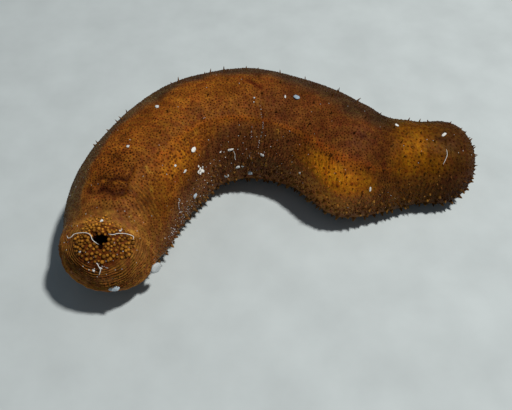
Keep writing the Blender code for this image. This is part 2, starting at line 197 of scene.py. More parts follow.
FRONT_REACH = 22.0
VENT_TILT = math.radians(66.0)
VENT_TO_RIGHT = math.radians(6.0)
VENT_HALF_ANGLE = math.radians(8.9)
MOUTH_TILT = math.radians(-40.0)
MOUTH_HALF_ANGLE = math.radians(21.0)
CUSHION_HEIGHT = 0.08
CUSHION_SPREAD = math.radians(20.0)
CUSHION_FROM_VENT = math.radians(26.0)
CUSHION_TURN = math.radians(52.0)
RING_STEP = 0.62
RING_POINTS = 320
REAR_RINGS = 200
FRONT_RINGS = 90
PIT_RINGS = 16
VENT_DEPTH = 9.0
MOUTH_DEPTH = 5.5
SOLE_LIFT = 0.8
UP = np.array((0.0, 0.0, 1.0))


def smooth_curve(rows, places, level_ends=False):
    """The values at places between stations, on a smooth curve through all the rows."""
    rows = np.asarray(rows, float)
    first = np.clip(np.floor(places).astype(int), 0, len(rows) - 2)
    part = (places - first)[:, None]
    slopes = np.gradient(rows, axis=0)
    if level_ends:
        slopes[[0, -1]] = 0.0
    square = part**2
    cube = part**3
    return (
        (2 * cube - 3 * square + 1) * rows[first]
        + (cube - 2 * square + part) * slopes[first]
        + (3 * square - 2 * cube) * rows[first + 1]
        + (cube - square) * slopes[first + 1]
    )


steps = np.linspace(0.0, len(PATH) - 1, 1001)
walked = smooth_curve(PATH, steps)
distances = np.concatenate([[0.0], np.cumsum(np.linalg.norm(np.diff(walked, axis=0), axis=1))])
BODY_LENGTH = distances[-1]
path_slopes = np.gradient(np.array(PATH), axis=0)
headings = np.arctan2(path_slopes[:, 1], path_slopes[:, 0])
headings[1:-1] = (headings[:-2] + 2 * headings[1:-1] + headings[2:]) / 4


def cross_sections(along):
    """The middle, the way ahead, the way to the side and the three sizes of cross-sections."""
    places = np.interp(along, distances, steps)
    half_width, back, lift = smooth_curve(GIRTH, places, level_ends=True).T
    heading = smooth_curve(headings[:, None], places)[:, 0]
    ahead = np.stack([np.cos(heading), np.sin(heading), 0 * heading], axis=1)
    widest = lift + WIDEST_AT * (back - lift)
    middle = np.column_stack([smooth_curve(PATH, places), widest])
    return middle, ahead, np.cross(UP, ahead), half_width, back - widest, widest - lift + SOLE_PRESS


def outline(half_width, above, below, turn, power):
    """How far to the side and how far up a point of a cross-section's outline lies."""
    across = np.cos(turn)
    up = np.sin(turn)
    low_side = np.sign(across) * np.abs(across) ** (2 / power)
    low_up = -np.abs(up) ** (2 / power)
    side = half_width * np.where(up >= 0.0, across, low_side)
    return side, np.where(up >= 0.0, above * up, below * low_up)


def trunk_skin(along, turns):
    """Points of the skin between the two rounded ends, one ring for each distance."""
    middle, _, side, half_width, above, below = cross_sections(along)
    aside, up = outline(
        half_width[:, None], above[:, None], below[:, None], turns[None, :], LOWER_POWER
    )
    return middle[:, None] + aside[..., None] * side[:, None] + up[..., None] * UP


def unit(vectors):
    """Vectors brought to a length of one."""
    return vectors / np.maximum(np.linalg.norm(vectors, axis=-1, keepdims=True), 1e-12)


def bearings(directions, pole):
    """The angle of directions from a pole, and their bearing round it from the side that is up."""
    upward = unit(UP - pole * pole[2])
    sideways = np.cross(upward, pole)
    angle = np.arccos(np.clip(directions @ pole, -1.0, 1.0))
    return angle, np.arctan2(directions @ sideways, directions @ upward)


def around(pole, angle, turn):
    """The direction at an angle from a pole and on a bearing round it."""
    upward = unit(UP - pole * pole[2])
    sideways = np.cross(upward, pole)
    bearing = upward * math.cos(turn) + sideways * math.sin(turn)
    return pole * math.cos(angle) + bearing * math.sin(angle)


VENT = np.array((
    -math.sin(VENT_TO_RIGHT),
    math.cos(VENT_TO_RIGHT) * math.cos(VENT_TILT),
    math.cos(VENT_TO_RIGHT) * math.sin(VENT_TILT),
))
MOUTH = np.array((0.0, math.cos(MOUTH_TILT), math.sin(MOUTH_TILT)))
CUSHIONS = [around(VENT, CUSHION_FROM_VENT, math.pi + way * CUSHION_TURN) for way in (-1, 1)]


def between(start, end, share):
    """A value on the way from start to end, by a share from 0 to 1."""
    return start + (end - start) * share


def end_skin(along, out_sign, reach, directions, cushions):
    """Points of a rounded end's skin in directions from its middle: side, out and up."""
    middle, ahead, side, half_width, above, below = (
        values[0] for values in cross_sections(np.array([along]))
    )
    spread = np.hypot(directions[..., 0], directions[..., 2])
    turn = np.arctan2(directions[..., 2], directions[..., 0])
    power = between(LOWER_POWER, ROUND_POWER, directions[..., 1])
    aside, up = outline(half_width, above, below, turn, power)
    swell = np.ones(spread.shape)
    for cushion in cushions:
        angle, _ = bearings(directions, cushion)
        swell += CUSHION_HEIGHT * np.exp(-((angle / CUSHION_SPREAD) ** 2))
    offset = (
        (aside * spread)[..., None] * side
        + (reach * directions[..., 1])[..., None] * (out_sign * ahead)
        + (up * spread)[..., None] * UP
    )
    return middle + offset * swell[..., None]


def even_turns():
    """Angles that space a ring's points evenly, from the middle of the sole and back to it."""
    fine = np.linspace(-math.pi / 2, 3 * math.pi / 2, 4001)
    side, up = outline(35.0, 34.0, 25.0, fine, LOWER_POWER)
    walk = np.concatenate([[0.0], np.cumsum(np.hypot(np.diff(side), np.diff(up)))])
    return np.interp(np.linspace(0.0, walk[-1], RING_POINTS, endpoint=False), walk, fine)


turns = even_turns()


def end_directions(pole, rim_angle, count):
    """Directions in rings from an opening's rim out to the end's widest cross-section."""
    start = np.stack([np.cos(turns), 0 * turns, np.sin(turns)], axis=1)
    angle, _ = bearings(start, pole)
    square = unit(pole - start * (start @ pole)[:, None])
    share = np.linspace(1.0, 0.0, count, endpoint=False)[:, None]
    turn = ((angle - rim_angle) * share)[..., None]
    return start * np.cos(turn) + square * np.sin(turn)


# The vent's rim is an uneven star: two lobes bulge into it from below with a narrow notch
# between them, and it reaches furthest to both sides and to two points at the top. Each bump or
# dent has its bearing and its width in radians and its share of the vent's radius.
RIM_BUMPS = (
    (math.pi, 0.28, 0.30),
    (math.pi - 0.85, 0.42, -0.36),
    (math.pi + 0.80, 0.40, -0.30),
    (1.20, 0.40, 0.30),
    (-1.25, 0.40, 0.30),
    (0.0, 0.75, 0.30),
    (0.42, 0.16, 0.12),
    (-0.38, 0.18, 0.20),
    (0.02, 0.14, -0.16),
)

start_directions = np.stack([np.cos(turns), 0 * turns, np.sin(turns)], axis=1)
_, vent_bearing = bearings(start_directions, VENT)


def rim_bump(bearing, width, height):
    """A bump or a dent of the vent's rim at a bearing in radians."""
    turn = np.angle(np.exp(1j * (vent_bearing - bearing)))
    return height * np.exp(-((turn / width) ** 2))


vent_star = sum((rim_bump(*bump) for bump in RIM_BUMPS), 1.0)
rear_directions = end_directions(VENT, VENT_HALF_ANGLE * vent_star, REAR_RINGS)
front_directions = end_directions(MOUTH, MOUTH_HALF_ANGLE, FRONT_RINGS)
trunk_along = np.linspace(0.0, BODY_LENGTH, int(BODY_LENGTH / RING_STEP))
rear_points = end_skin(0.0, -1.0, REAR_REACH, rear_directions, CUSHIONS)
front_points = end_skin(BODY_LENGTH, 1.0, FRONT_REACH, front_directions, [])


def pit_points(rim, inward_to, depth, share_at, folds):
    """Rings from an opening's rim down to the bottom of its pit, drawn together as they go."""
    middle = rim.mean(axis=0)
    inward = unit(np.cross(rim[0] - middle, rim[len(rim) // 4] - middle))
    inward = inward * np.sign(inward @ (inward_to - middle))
    offset = rim - middle
    raised = (offset @ inward)[:, None] * inward
    rings = []
    for step in np.linspace(0.0, 1.0, PIT_RINGS + 1)[1:]:
        share = share_at(step) * (1.0 + folds * step * np.cos(11 * vent_bearing))[:, None]
        flat = middle + (offset - raised) * share
        rings.append(flat + raised * (1 - step) + inward * depth(step))
    return np.array(rings)


rear_pit = pit_points(
    rear_points[0],
    cross_sections(np.array([0.0]))[0][0],
    lambda step: VENT_DEPTH * step**1.2,
    lambda step: 0.97 * (1 - step) ** 0.55,
    0.16,
)
front_pit = pit_points(
    front_points[0],
    cross_sections(np.array([BODY_LENGTH]))[0][0],
    lambda step: MOUTH_DEPTH * min(1.0, 1.6 * step),
    lambda step: 0.9 * min(1.0, 2.6 * (1 - step)),
    0.0,
)

skin_rings = np.concatenate([
    rear_pit[::-1],
    rear_points,
    trunk_skin(trunk_along, turns),
    front_points[::-1],
    front_pit,
])
RING_COUNT = len(skin_rings)
FIRST_REAR = PIT_RINGS
FIRST_TRUNK = FIRST_REAR + REAR_RINGS
FIRST_FRONT = FIRST_TRUNK + len(trunk_along)
FIRST_PIT = FIRST_FRONT + FRONT_RINGS

# Where each point of the skin is on the body. Beyond either end of the trunk, the distance along
# it goes on outwards, and the angle is the one round the end.
along = np.zeros((RING_COUNT, RING_POINTS))
angle_round = np.tile(np.degrees(turns), (RING_COUNT, 1))
from_vent = np.full((RING_COUNT, RING_POINTS), 180.0)
from_mouth = np.full((RING_COUNT, RING_POINTS), 180.0)
inside = np.zeros((RING_COUNT, RING_POINTS))
front_outwards = front_directions[::-1]
along[FIRST_TRUNK:FIRST_FRONT] = trunk_along[:, None]
along[FIRST_REAR:FIRST_TRUNK] = -REAR_REACH * rear_directions[..., 1]
along[:FIRST_REAR] = along[FIRST_REAR]
along[FIRST_FRONT:FIRST_PIT] = BODY_LENGTH + FRONT_REACH * front_outwards[..., 1]
along[FIRST_PIT:] = along[FIRST_PIT - 1]
for first, last, directions, pole, field in (
    (FIRST_REAR, FIRST_TRUNK, rear_directions, VENT, from_vent),
    (FIRST_FRONT, FIRST_PIT, front_outwards, MOUTH, from_mouth),
):
    angle_round[first:last] = np.degrees(np.arctan2(directions[..., 2], directions[..., 0]))
    field[first:last] = np.degrees(bearings(directions, pole)[0])
angle_round = (angle_round + 90.0) % 360.0 - 90.0
from_vent[:FIRST_REAR] = 0.0
from_mouth[FIRST_PIT:] = 0.0
inside[:FIRST_REAR] = np.linspace(1.0, 0.1, FIRST_REAR)[:, None]
inside[FIRST_PIT:] = np.linspace(0.1, 1.0, PIT_RINGS)[:, None]
lengthwise = np.cumsum(
    np.concatenate([
        np.zeros((1, RING_POINTS)), np.linalg.norm(np.diff(skin_rings, axis=0), axis=2)
    ]),
    axis=0,
)
across_step = np.linalg.norm(np.roll(skin_rings, -1, axis=1) - skin_rings, axis=2)
crosswise = np.concatenate([np.zeros((RING_COUNT, 1)), np.cumsum(across_step, axis=1)], axis=1)

chance = np.random.default_rng(11)


def soft_noise(points, size):
    """A smooth random value between about -1 and 1, with swells of about a size in millimetres."""
    total = np.zeros(points.shape[:-1])
    waves = 14
    for _ in range(waves):
        wave = unit(chance.normal(size=3)) * (2 * math.pi / (size * chance.uniform(1.4, 3.2)))
        total += np.sin(points @ wave + chance.uniform(0.0, 2 * math.pi))
    return total / math.sqrt(waves / 2) / 1.6


def ramp(values, low, high):
    """0 below low, 1 above high and a smooth rise between them."""
    part = np.clip((values - low) / (high - low), 0.0, 1.0)
    return part * part * (3 - 2 * part)


def band(values, low, high, fall, end, of=1.0):
    """All of something from high to fall, and none of it below low or above end."""
    return of * ramp(values, low, high) * (1 - ramp(values, fall, end))


def bell(distance, width):
    """1 at no distance, falling off smoothly over a width."""
    return np.exp(-((distance / width) ** 2))


def patch(middle_along, middle_round, half_length, half_round, ragged=0.35, firm=1.0):
    """A soft-edged patch of the skin: 1 in its middle and 0 well outside it."""
    out = ((along - middle_along) / half_length) ** 2
    out += ((angle_round - middle_round) / half_round) ** 2
    return np.exp(-((out * np.exp(ragged * broad_noise)) ** firm))


def from_line(route):
    """How far the skin's points are, in millimetres, from a line through places on the body."""
    nearest = np.full(along.shape, 1e3)
    for start, end in zip(route, route[1:]):
        step = np.array((end[0] - start[0], (end[1] - start[1]) * MM_PER_DEGREE))
        beyond = along - start[0]
        beside = (angle_round - start[1]) * MM_PER_DEGREE
        share = np.clip((beyond * step[0] + beside * step[1]) / (step @ step), 0.0, 1.0)
        nearest = np.minimum(nearest, np.hypot(beyond - share * step[0], beside - share * step[1]))
    return nearest


def by_distance(route):
    """The angle round the body, for each point of the skin, of a line through places on it."""
    return np.interp(along, [place[0] for place in route], [place[1] for place in route])


MM_PER_DEGREE = 0.6
ORANGE_LINE = (
    (38.0, 117.0), (60.0, 119.5), (80.0, 121.0), (100.0, 124.0), (120.0, 127.0), (140.0, 129.5),
    (160.0, 131.0), (180.0, 133.0), (190.0, 133.0), (200.0, 131.5), (212.0, 132.0), (222.0, 137.0),
    (235.0, 140.5), (258.0, 141.0),
)
LINE_STRENGTH = (
    (36.0, 50.0, 100.0, 118.0, 178.0, 190.0, 214.0, 226.0, 250.0, 262.0),
    (0.0, 1.0, 1.0, 0.85, 0.55, 0.85, 0.85, 0.35, 0.3, 0.0),
)
FLANK_TOP = (
    (0.0, 168.0), (20.0, 158.0), (45.0, 149.0), (70.0, 145.0), (90.0, 137.0), (105.0, 130.0),
    (120.0, 129.0), (175.0, 133.0), (225.0, 142.0), (262.0, 145.0),
)
OUTER_EDGE = (
    (0.0, 58.0), (60.0, 63.0), (80.0, 70.0), (130.0, 73.0), (180.0, 80.0), (205.0, 88.0),
    (228.0, 82.0), (240.0, 66.0), (262.0, 60.0),
)
CREASES = (
    (((20.0, 104.0), (18.0, 94.0), (19.5, 85.0), (16.5, 76.0), (17.5, 67.0)), 1.9, 0.8),
    (((27.8, 103.0), (27.4, 96.0), (25.4, 88.0), (25.8, 80.0), (23.4, 71.0)), 1.3, 1.0),
    (((20.0, 103.0), (24.5, 105.5), (29.0, 103.5), (34.0, 105.5), (38.0, 103.5)), 1.1, 0.8),
    (((22.5, 92.0), (22.0, 84.0), (20.8, 74.0)), 0.8, 0.5),
    (((36.0, 100.0), (37.5, 90.0), (40.0, 80.0)), 0.8, 0.45),
    (((8.5, 90.0), (9.5, 80.0), (8.0, 70.0)), 1.0, 0.35),
)
DARK_MARKS = (
    (78.5, 100.5, 1.1, 2.0), (49.5, 79.0, 1.5, 2.2), (195.5, 103.0, 3.4, 2.6),
    (198.0, 96.5, 1.8, 3.0), (190.0, 93.0, 2.6, 2.2), (212.0, 104.0, 1.8, 3.0),
    (207.0, 95.0, 1.4, 1.6), (150.0, 113.0, 1.6, 2.0), (38.0, 168.0, 2.2, 2.6),
    (170.0, 141.0, 3.0, 2.0), (161.0, 146.0, 2.4, 2.0),
)
GOLD_FLECKS = (
    (40.1, 118.0, 1.3, 2.6), (41.2, 114.2, 1.1, 1.6), (6.9, 125.0, 1.0, 2.6),
    (4.2, 120.0, 0.8, 1.6), (9.5, 119.5, 0.7, 1.3), (2.4, 131.5, 0.8, 1.4),
    (12.0, 128.0, 0.6, 1.1), (30.0, 128.5, 0.7, 1.0), (156.7, 183.0, 0.7, 3.0),
    (146.6, 175.8, 0.9, 2.2), (151.1, 177.8, 0.6, 2.6), (158.5, 137.0, 1.4, 1.8),
)
FOLD_LINE = ((143.0, 99.6), (143.9, 105.0), (144.3, 115.7), (145.5, 132.0), (144.7, 147.0))
RED_STREAK = ((134.9, 87.3), (138.5, 92.1), (142.2, 96.2))

# The golden bulge of the fore body and the smaller golden places, each with its strength: where
# the middle is along and round the body, half its size each way, how ragged it is and how firm.
GOLDEN_BULGE = (201.5, 153.0, 19.0, 20.0, 0.35, 1.6)
GOLDEN_PLACES = (
    (0.62, (198.0, 176.0, 20.0, 18.0)),
    (0.80, (243.8, 108.0, 4.5, 24.0, 0.5)),
    (0.50, (237.0, 116.0, 7.0, 28.0, 0.6)),
    (0.30, (256.0, 130.0, 6.0, 14.0)),
    (0.50, (62.0, 132.0, 23.0, 9.5)),
)
DRAWN_IN = (27.0, 84.0, 14.0, 24.0, 0.3)
FANNED = (18.5, 124.0, 13.0, 24.0, 0.35, 1.5)
FAN_FROM = (35.5, 78.5)
FAN_STREAKS = 84
WRINKLES_APART = 1.55
FOLDS_APART = 2.3
SOLE_ROUNDING = 0.3

broad_noise = soft_noise(skin_rings, 9.0)
fine_noise = soft_noise(skin_rings, 3.0)
lumpy_noise = soft_noise(skin_rings, 18.0)
wavy_noise = soft_noise(skin_rings, 6.0)
hue_noise = soft_noise(skin_rings, 1.7)

vent_middle = rear_points[0].mean(axis=0)
vent_spread = np.linalg.norm(skin_rings - vent_middle, axis=2)
top_way = unit(skin_rings[FIRST_TRUNK, RING_POINTS // 2] - vent_middle)
toward_top = unit(skin_rings - vent_middle) @ top_way
line_round = by_distance(ORANGE_LINE)
golden = np.maximum.reduce([
    patch(*GOLDEN_BULGE) * ramp(angle_round - line_round, -1.0, 8.0),
    *(strength * patch(*place) for strength, place in GOLDEN_PLACES),
])
line_width = 1.5 + band(along, 172.0, 185.0, 214.0, 226.0, of=1.3)
orange_line = bell(from_line(ORANGE_LINE) + 0.6 * fine_noise, line_width)
orange_line *= np.interp(along, *LINE_STRENGTH)
crease_depth = np.maximum.reduce([
    depth * bell(from_line(route) + 0.55 * fine_noise, width) for route, width, depth in CREASES
])
crease = patch(*DRAWN_IN)
fold_groove = bell(from_line(FOLD_LINE), 0.7)
streak = bell(from_line(RED_STREAK) + 0.2 * fine_noise, 1.2)
inner_flank = band(along, 50.0, 90.0, 150.0, 180.0, of=ramp(angle_round, 128.0, 160.0))
wrinkled = ramp(vent_spread, 7.5 + 2.0 * toward_top, 14.0) * ramp(from_vent, 20.0, 40.0)
wrinkled *= (1 - ramp(from_vent, 118.0, 146.0)) * (1 - 0.6 * ramp(toward_top, -0.1, 0.6))
ring_wave = np.sin(2 * math.pi * lengthwise / WRINKLES_APART + 2.2 * wavy_noise + 2.2 * broad_noise)
fanned = patch(*FANNED)
fan_turn = np.arctan2((angle_round - FAN_FROM[1]) * MM_PER_DEGREE, along - FAN_FROM[0])
fan_wave = np.sin(FAN_STREAKS * fan_turn + 1.3 * wavy_noise + 0.8 * broad_noise)
low_face = ramp(from_vent, 60.0, 100.0)
open_skin = 1 - ramp(inside, 0.0, 0.1)

relief = 0.35 * lumpy_noise + 0.16 * broad_noise + 0.05 * fine_noise
fold_wave = np.sin(2 * math.pi * lengthwise / FOLDS_APART + 2.2 * wavy_noise)
relief += (0.06 + 0.12 * inner_flank + 0.08 * crease) * fold_wave
relief -= 1.15 * crease_depth - 0.45 * crease
relief += 0.26 * fanned * fan_wave
wrinkle_height = (0.42 + 0.14 * low_face) * wrinkled * np.clip(0.75 + 0.5 * fine_noise, 0.1, 1.2)
relief += wrinkle_height * ring_wave
relief += 0.40 * orange_line
relief -= 0.25 * fold_groove + 0.2 * streak
relief *= open_skin


def ways_and_normals(points):
    """The ways along and across the skin at its points, and the way out of it."""
    lengthwise_way = np.gradient(points, axis=0)
    crosswise_way = (np.roll(points, -1, axis=1) - np.roll(points, 1, axis=1)) / 2
    return lengthwise_way, crosswise_way, unit(np.cross(crosswise_way, lengthwise_way))


skin_points = skin_rings + ways_and_normals(skin_rings)[2] * relief[..., None]
above_sole = skin_points[..., 2] - SOLE_LIFT
rounded = np.sqrt(above_sole**2 + SOLE_ROUNDING**2)
skin_points[..., 2] = SOLE_LIFT + (above_sole + rounded) / 2
skin_points *= MM
lengthwise_way, crosswise_way, skin_normals = ways_and_normals(skin_points)

# The skin's colours. Orange-brown on the back, golden where it is stretched, dark where it is
# drawn in and down the inner flank, and olive on the outer side.
ORANGE_BROWN = (0.200, 0.062, 0.0070)
GOLD = (0.420, 0.140, 0.0060)
FLECK_YELLOW = (0.400, 0.195, 0.024)
BRIGHT_ORANGE = (0.335, 0.084, 0.005)
OLIVE_RIM = (0.112, 0.066, 0.026)
EDGE_YELLOW = (0.150, 0.098, 0.034)
DARK_RIM = (0.110, 0.052, 0.013)
DARK_FLANK = (0.100, 0.033, 0.009)
FLANK_EDGE_PAINTED_LIGHT = (0.170, 0.076, 0.028)
RED_BROWN = (0.128, 0.038, 0.0075)
RED_MARK = (0.075, 0.012, 0.003)
OLIVE_BROWN = (0.128, 0.053, 0.006)
SHADE_AND_MARK_BROWN = (0.045, 0.010, 0.003)
REAR_BROWN = (0.215, 0.082, 0.015)
FRONT_BROWN = (0.068, 0.0265, 0.006)
TUBERCLE_BED = (0.090, 0.018, 0.003)
SOLE_BROWN = (0.130, 0.075, 0.030)
MOTTLE_BROWN = (0.075, 0.018, 0.003)
PIT_SHADE_BLACK = (0.012, 0.004, 0.002)


def blend_in(colours, colour, amount):
    """Colours drawn towards one colour by an amount for each point."""
    return colours + (np.array(colour) - colours) * np.clip(amount, 0.0, 1.0)[..., None]


on_trunk = ramp(along, -8.0, 20.0)
outer_soft = 4.0 + 5.0 * ramp(along, 50.0, 90.0)
past_edge = angle_round + 3.0 * broad_noise - by_distance(OUTER_EDGE)
outer = 1 - ramp(past_edge / outer_soft, -1.0, 1.0)
past_flank_top = angle_round + 2.0 * broad_noise - by_distance(FLANK_TOP)
# Painted light: low on the inner flank the skin's reddish colour is blended lighter, lifting it out
# of its shade.
painted_light_edge_share = 1 - band(along, 72.0, 95.0, 165.0, 180.0, of=0.6)
painted_light_edge_share *= band(along, -5.0, 30.0, 205.0, 240.0)
tubercle_bed = vent_spread + 5.0 * ramp(toward_top, 0.0, 0.8)
downward = -skin_normals[..., 2]

# Each colour over the ones before it: the lengths of the back and the ends, the outer side, the
# flank with painted light low on its inner edge, the golden places, then the marks with painted
# shade in the creases and the fold line, the bed of the tubercles, the sole, and the pits painted
# black as shade.
tint = np.tile(np.array(ORANGE_BROWN), (RING_COUNT, RING_POINTS, 1))
for paint, amount in (
    (RED_BROWN, band(along, 115.0, 165.0, 222.0, 234.0)),
    (REAR_BROWN, 1 - ramp(along, 4.0, 26.0)),
    (OLIVE_RIM, outer * on_trunk),
    (EDGE_YELLOW, 0.85 * (1 - ramp(angle_round + 5.0 * broad_noise, 8.0, 56.0)) * on_trunk),
    (DARK_RIM, 0.6 * outer * ramp(along, 158.0, 185.0)),
    (OLIVE_BROWN, 0.45 * ramp(along, 224.0, 234.0)),
    (FRONT_BROWN, 0.75 * ramp(along, 248.0, 264.0)),
    (DARK_FLANK, ramp(past_flank_top, -2.0, 12.0) * ramp(along, 0.0, 60.0)),
    (FLANK_EDGE_PAINTED_LIGHT, ramp(angle_round, 152.0, 182.0) * painted_light_edge_share),
    (FRONT_BROWN, 0.6 * ramp(along, 220.0, 240.0) * ramp(angle_round, 146.0, 164.0)),
    (OLIVE_BROWN, 0.6 * patch(25.0, 134.0, 9.0, 11.0)),
    (GOLD, golden),
    (BRIGHT_ORANGE, 0.55 * orange_line),
    # Painted shade: the creases and the fold line are darkened where the relief dips into them; the
    # dark marks share their brown.
    (SHADE_AND_MARK_BROWN, 0.16 * crease + 0.90 * crease_depth + 0.25 * patch(17.0, 87.0, 5.0, 18.0)),
    *((SHADE_AND_MARK_BROWN, 0.5 * patch(*place, 0.6)) for place in DARK_MARKS),
    *((FLECK_YELLOW, 0.7 * patch(*place, 0.6)) for place in GOLD_FLECKS),
    (SHADE_AND_MARK_BROWN, 0.8 * patch(256.6, 100.5, 3.0, 5.0, 0.8)),
    (SHADE_AND_MARK_BROWN, 0.30 * fold_groove),
    (RED_MARK, 0.9 * streak),
    (TUBERCLE_BED, 0.85 * (1 - ramp(tubercle_bed, 12.0, 17.0))),
    (SOLE_BROWN, ramp(downward, 0.55, 0.9)),
    # Painted shade: the inside of the vent and of the mouth darkened to near black.
    (PIT_SHADE_BLACK, ramp(inside, 0.0, 0.4)),
):
    tint = blend_in(tint, paint, amount)

# Then painted shade in the grooves of the wrinkles and the fan, the mottling and the unevenness
# of the whole.
wrinkle_groove_shade = (0.62 + 0.26 * low_face) * np.clip(0.8 + 0.3 * low_face + 0.5 * fine_noise, 0.0, 1.0)
tint *= (1.0 - wrinkled * wrinkle_groove_shade * ramp(-ring_wave, -0.3, 0.9))[..., None]
tint *= (1.0 + 0.12 * fanned - 0.58 * fanned * ramp(-fan_wave, -0.3, 0.9))[..., None]
mottled = 0.42 * open_skin * (1 - np.clip(1.7 * golden, 0.0, 0.85))
tint = blend_in(tint, MOTTLE_BROWN, mottled * ramp(wavy_noise + 0.7 * fine_noise, 0.15, 1.1))
uneven = (1.0 + 0.14 * broad_noise + 0.12 * fine_noise + 0.10 * hue_noise)[..., None]
tint *= uneven
tint[..., 1] *= 1.0 + 0.14 * hue_noise + 0.05 * fine_noise

# Last, what is lighter or darker than the rest. The low rear end is lighter: its underside is
# paler, and on the side turned from the lamp it carries painted light, as if lit from the floor.
# The far edge is darkened with painted shade. The low inner flank and the inner flank of the fore
# body carry painted light. The back and the drawn-in place are lighter, and parts of the fore body
# and the front are darker. The sole comes after them all, so that nothing that goes by the angle
# round the body leaves a seam along its middle.
# Painted light: the side of the low rear end turned from the lamp, and its paler underside,
# lightened as if lit from the floor.
side_from_lamp = (1 - ramp(angle_round, 55.0, 100.0)) * (1 - ramp(angle_round, 180.0, 270.0))
under_rear_paler_and_lit = 0.85 * ramp(from_vent, 46.0, 74.0) * side_from_lamp
under_rear_paler_and_lit = np.maximum(under_rear_paler_and_lit, 1.1 * ramp(from_vent, 66.0, 100.0))
# Painted shade: the far edge of the back darkened and made less green.
far_edge_shade = band(along, 75.0, 110.0, 222.0, 236.0) * outer
for factor in (
    1.0 + under_rear_paler_and_lit * (1 - ramp(along, -6.0, 6.0)),
    1.0 - (0.38 + 0.14 * ramp(along, 165.0, 185.0)) * far_edge_shade,
):
    tint *= factor[..., None]
tint[..., 1] *= 1.0 - 0.12 * far_edge_shade
for factor in (
    1.0 + 0.17 * patch(92.0, 97.0, 42.0, 9.0) - 0.30 * patch(222.0, 152.0, 11.0, 20.0),
    1.0 - 0.30 * ramp(along, 203.0, 222.0) * (1 - ramp(angle_round, 140.0, 160.0)),
    # Painted light: the low inner flank and, on the next line, the inner flank of the fore body
    # lightened, as if lit from the floor.
    1.0 + band(along, 70.0, 95.0, 165.0, 180.0, of=0.30 * ramp(angle_round, 176.0, 192.0)),
    1.0 + 0.50 * patch(188.0, 162.0, 29.0, 30.0) + 0.35 * patch(38.0, 70.0, 16.0, 14.0),
    1.0 + 0.15 * patch(195.0, 127.0, 14.0, 22.0) - 0.24 * patch(12.0, 157.0, 15.0, 26.0),
    1.0 - 0.35 * ramp(along, 254.0, 268.0) * ramp(angle_round, 130.0, 150.0),
):
    tint *= factor[..., None]
tint[..., 2] *= 1 - band(along, 215.0, 235.0, 250.0, 262.0, of=0.5)
sole_share = ramp(downward, 0.64, 0.90) * open_skin
tint += (np.array(SOLE_BROWN) * uneven - tint) * sole_share[..., None]

BAKE_MARGIN = 0.004
BAKE_PATCH = 0.003


def bake_place(rings, columns):
    """The place on the bake map of a ring and a column of the skin."""
    room = 1 - 2 * BAKE_MARGIN
    return np.stack([
        BAKE_MARGIN + room * rings / (RING_COUNT - 1),
        BAKE_MARGIN + room * columns / RING_POINTS,
    ], axis=-1)


def mesh_piece(name, points, faces, tints, bake_map):
    """A smooth mesh from arrays: points, faces of 3 or 4 corners, colours and bake places."""
    mesh = bpy.data.meshes.new(name)
    corners = np.concatenate([face.ravel() for face in faces])
    sides = np.concatenate([np.full(len(face), face.shape[1]) for face in faces])
    mesh.vertices.add(len(points))
    mesh.vertices.foreach_set("co", np.ascontiguousarray(points, np.float32).ravel())
    mesh.loops.add(len(corners))
    mesh.loops.foreach_set("vertex_index", corners.astype(np.int32))
    mesh.polygons.add(len(sides))
    starts = np.concatenate([[0], np.cumsum(sides)[:-1]])
    mesh.polygons.foreach_set("loop_start", starts.astype(np.int32))
    mesh.update(calc_edges=True)
    mesh.validate()
    colours = mesh.color_attributes.new("tint", "FLOAT_COLOR", "POINT")
    rgba = np.concatenate([tints, np.ones((len(tints), 1))], axis=1)
    colours.data.foreach_set("color", rgba.astype(np.float32).ravel())
    layer = mesh.uv_layers.new(name="OFBake")
    layer.data.foreach_set("uv", bake_map.astype(np.float32).ravel())
    mesh.shade_smooth()
    piece = bpy.data.objects.new(name, mesh)
    bpy.context.scene.collection.objects.link(piece)
    return piece


ring_index, column_index = np.meshgrid(
    np.arange(RING_COUNT - 1), np.arange(RING_POINTS), indexing="ij"
)
ring_index = ring_index.ravel()
column_index = column_index.ravel()
next_column = (column_index + 1) % RING_POINTS
skin_faces = np.stack([
    ring_index * RING_POINTS + column_index,
    ring_index * RING_POINTS + next_column,
    (ring_index + 1) * RING_POINTS + next_column,
    (ring_index + 1) * RING_POINTS + column_index,
], axis=1)
corner_rings = np.stack([ring_index, ring_index, ring_index + 1, ring_index + 1], axis=1)
corner_columns = np.stack([column_index, column_index + 1, column_index + 1, column_index], axis=1)
skin = mesh_piece(
    "skin",
    skin_points.reshape(-1, 3),
    [skin_faces],
    tint.reshape(-1, 3),
    bake_place(corner_rings, corner_columns).reshape(-1, 2),
)
body_map = skin.data.uv_layers.new(name="body_map")
body_places = np.stack([
    lengthwise[corner_rings, corner_columns % RING_POINTS],
    crosswise[corner_rings, corner_columns],
], axis=-1)
body_map.data.foreach_set("uv", (body_places * MM).astype(np.float32).ravel())

# Moist skin: mottled at two scales, crossed by fine creases, with a grain of tiny pits and a
# soft gloss that varies with the grain.
FINE_CREASE_SCALE = (1300.0, 260.0, 1.0)
GRAIN_SCALE = 1500.0
BLOTCH_SCALE = 260.0
PORE_SCALE = 620.0
SKIN_ROUGHNESS = (0.36, 0.56)


def tint_colour(nodes):
    """The colour that a mesh carries at its points."""
    tint_node = nodes.new("ShaderNodeAttribute")
    tint_node.attribute_name = "tint"
    return tint_node.outputs["Color"]


def bump_node(nodes, links, height, strength, distance, sources):
    """A bump of some strength and depth in metres, over the normal that feeds it, if any."""
    settings = {"Strength": strength, "Distance": distance}
    return add_node(nodes, links, "Bump", settings, {"Height": height, **sources}).outputs["Normal"]


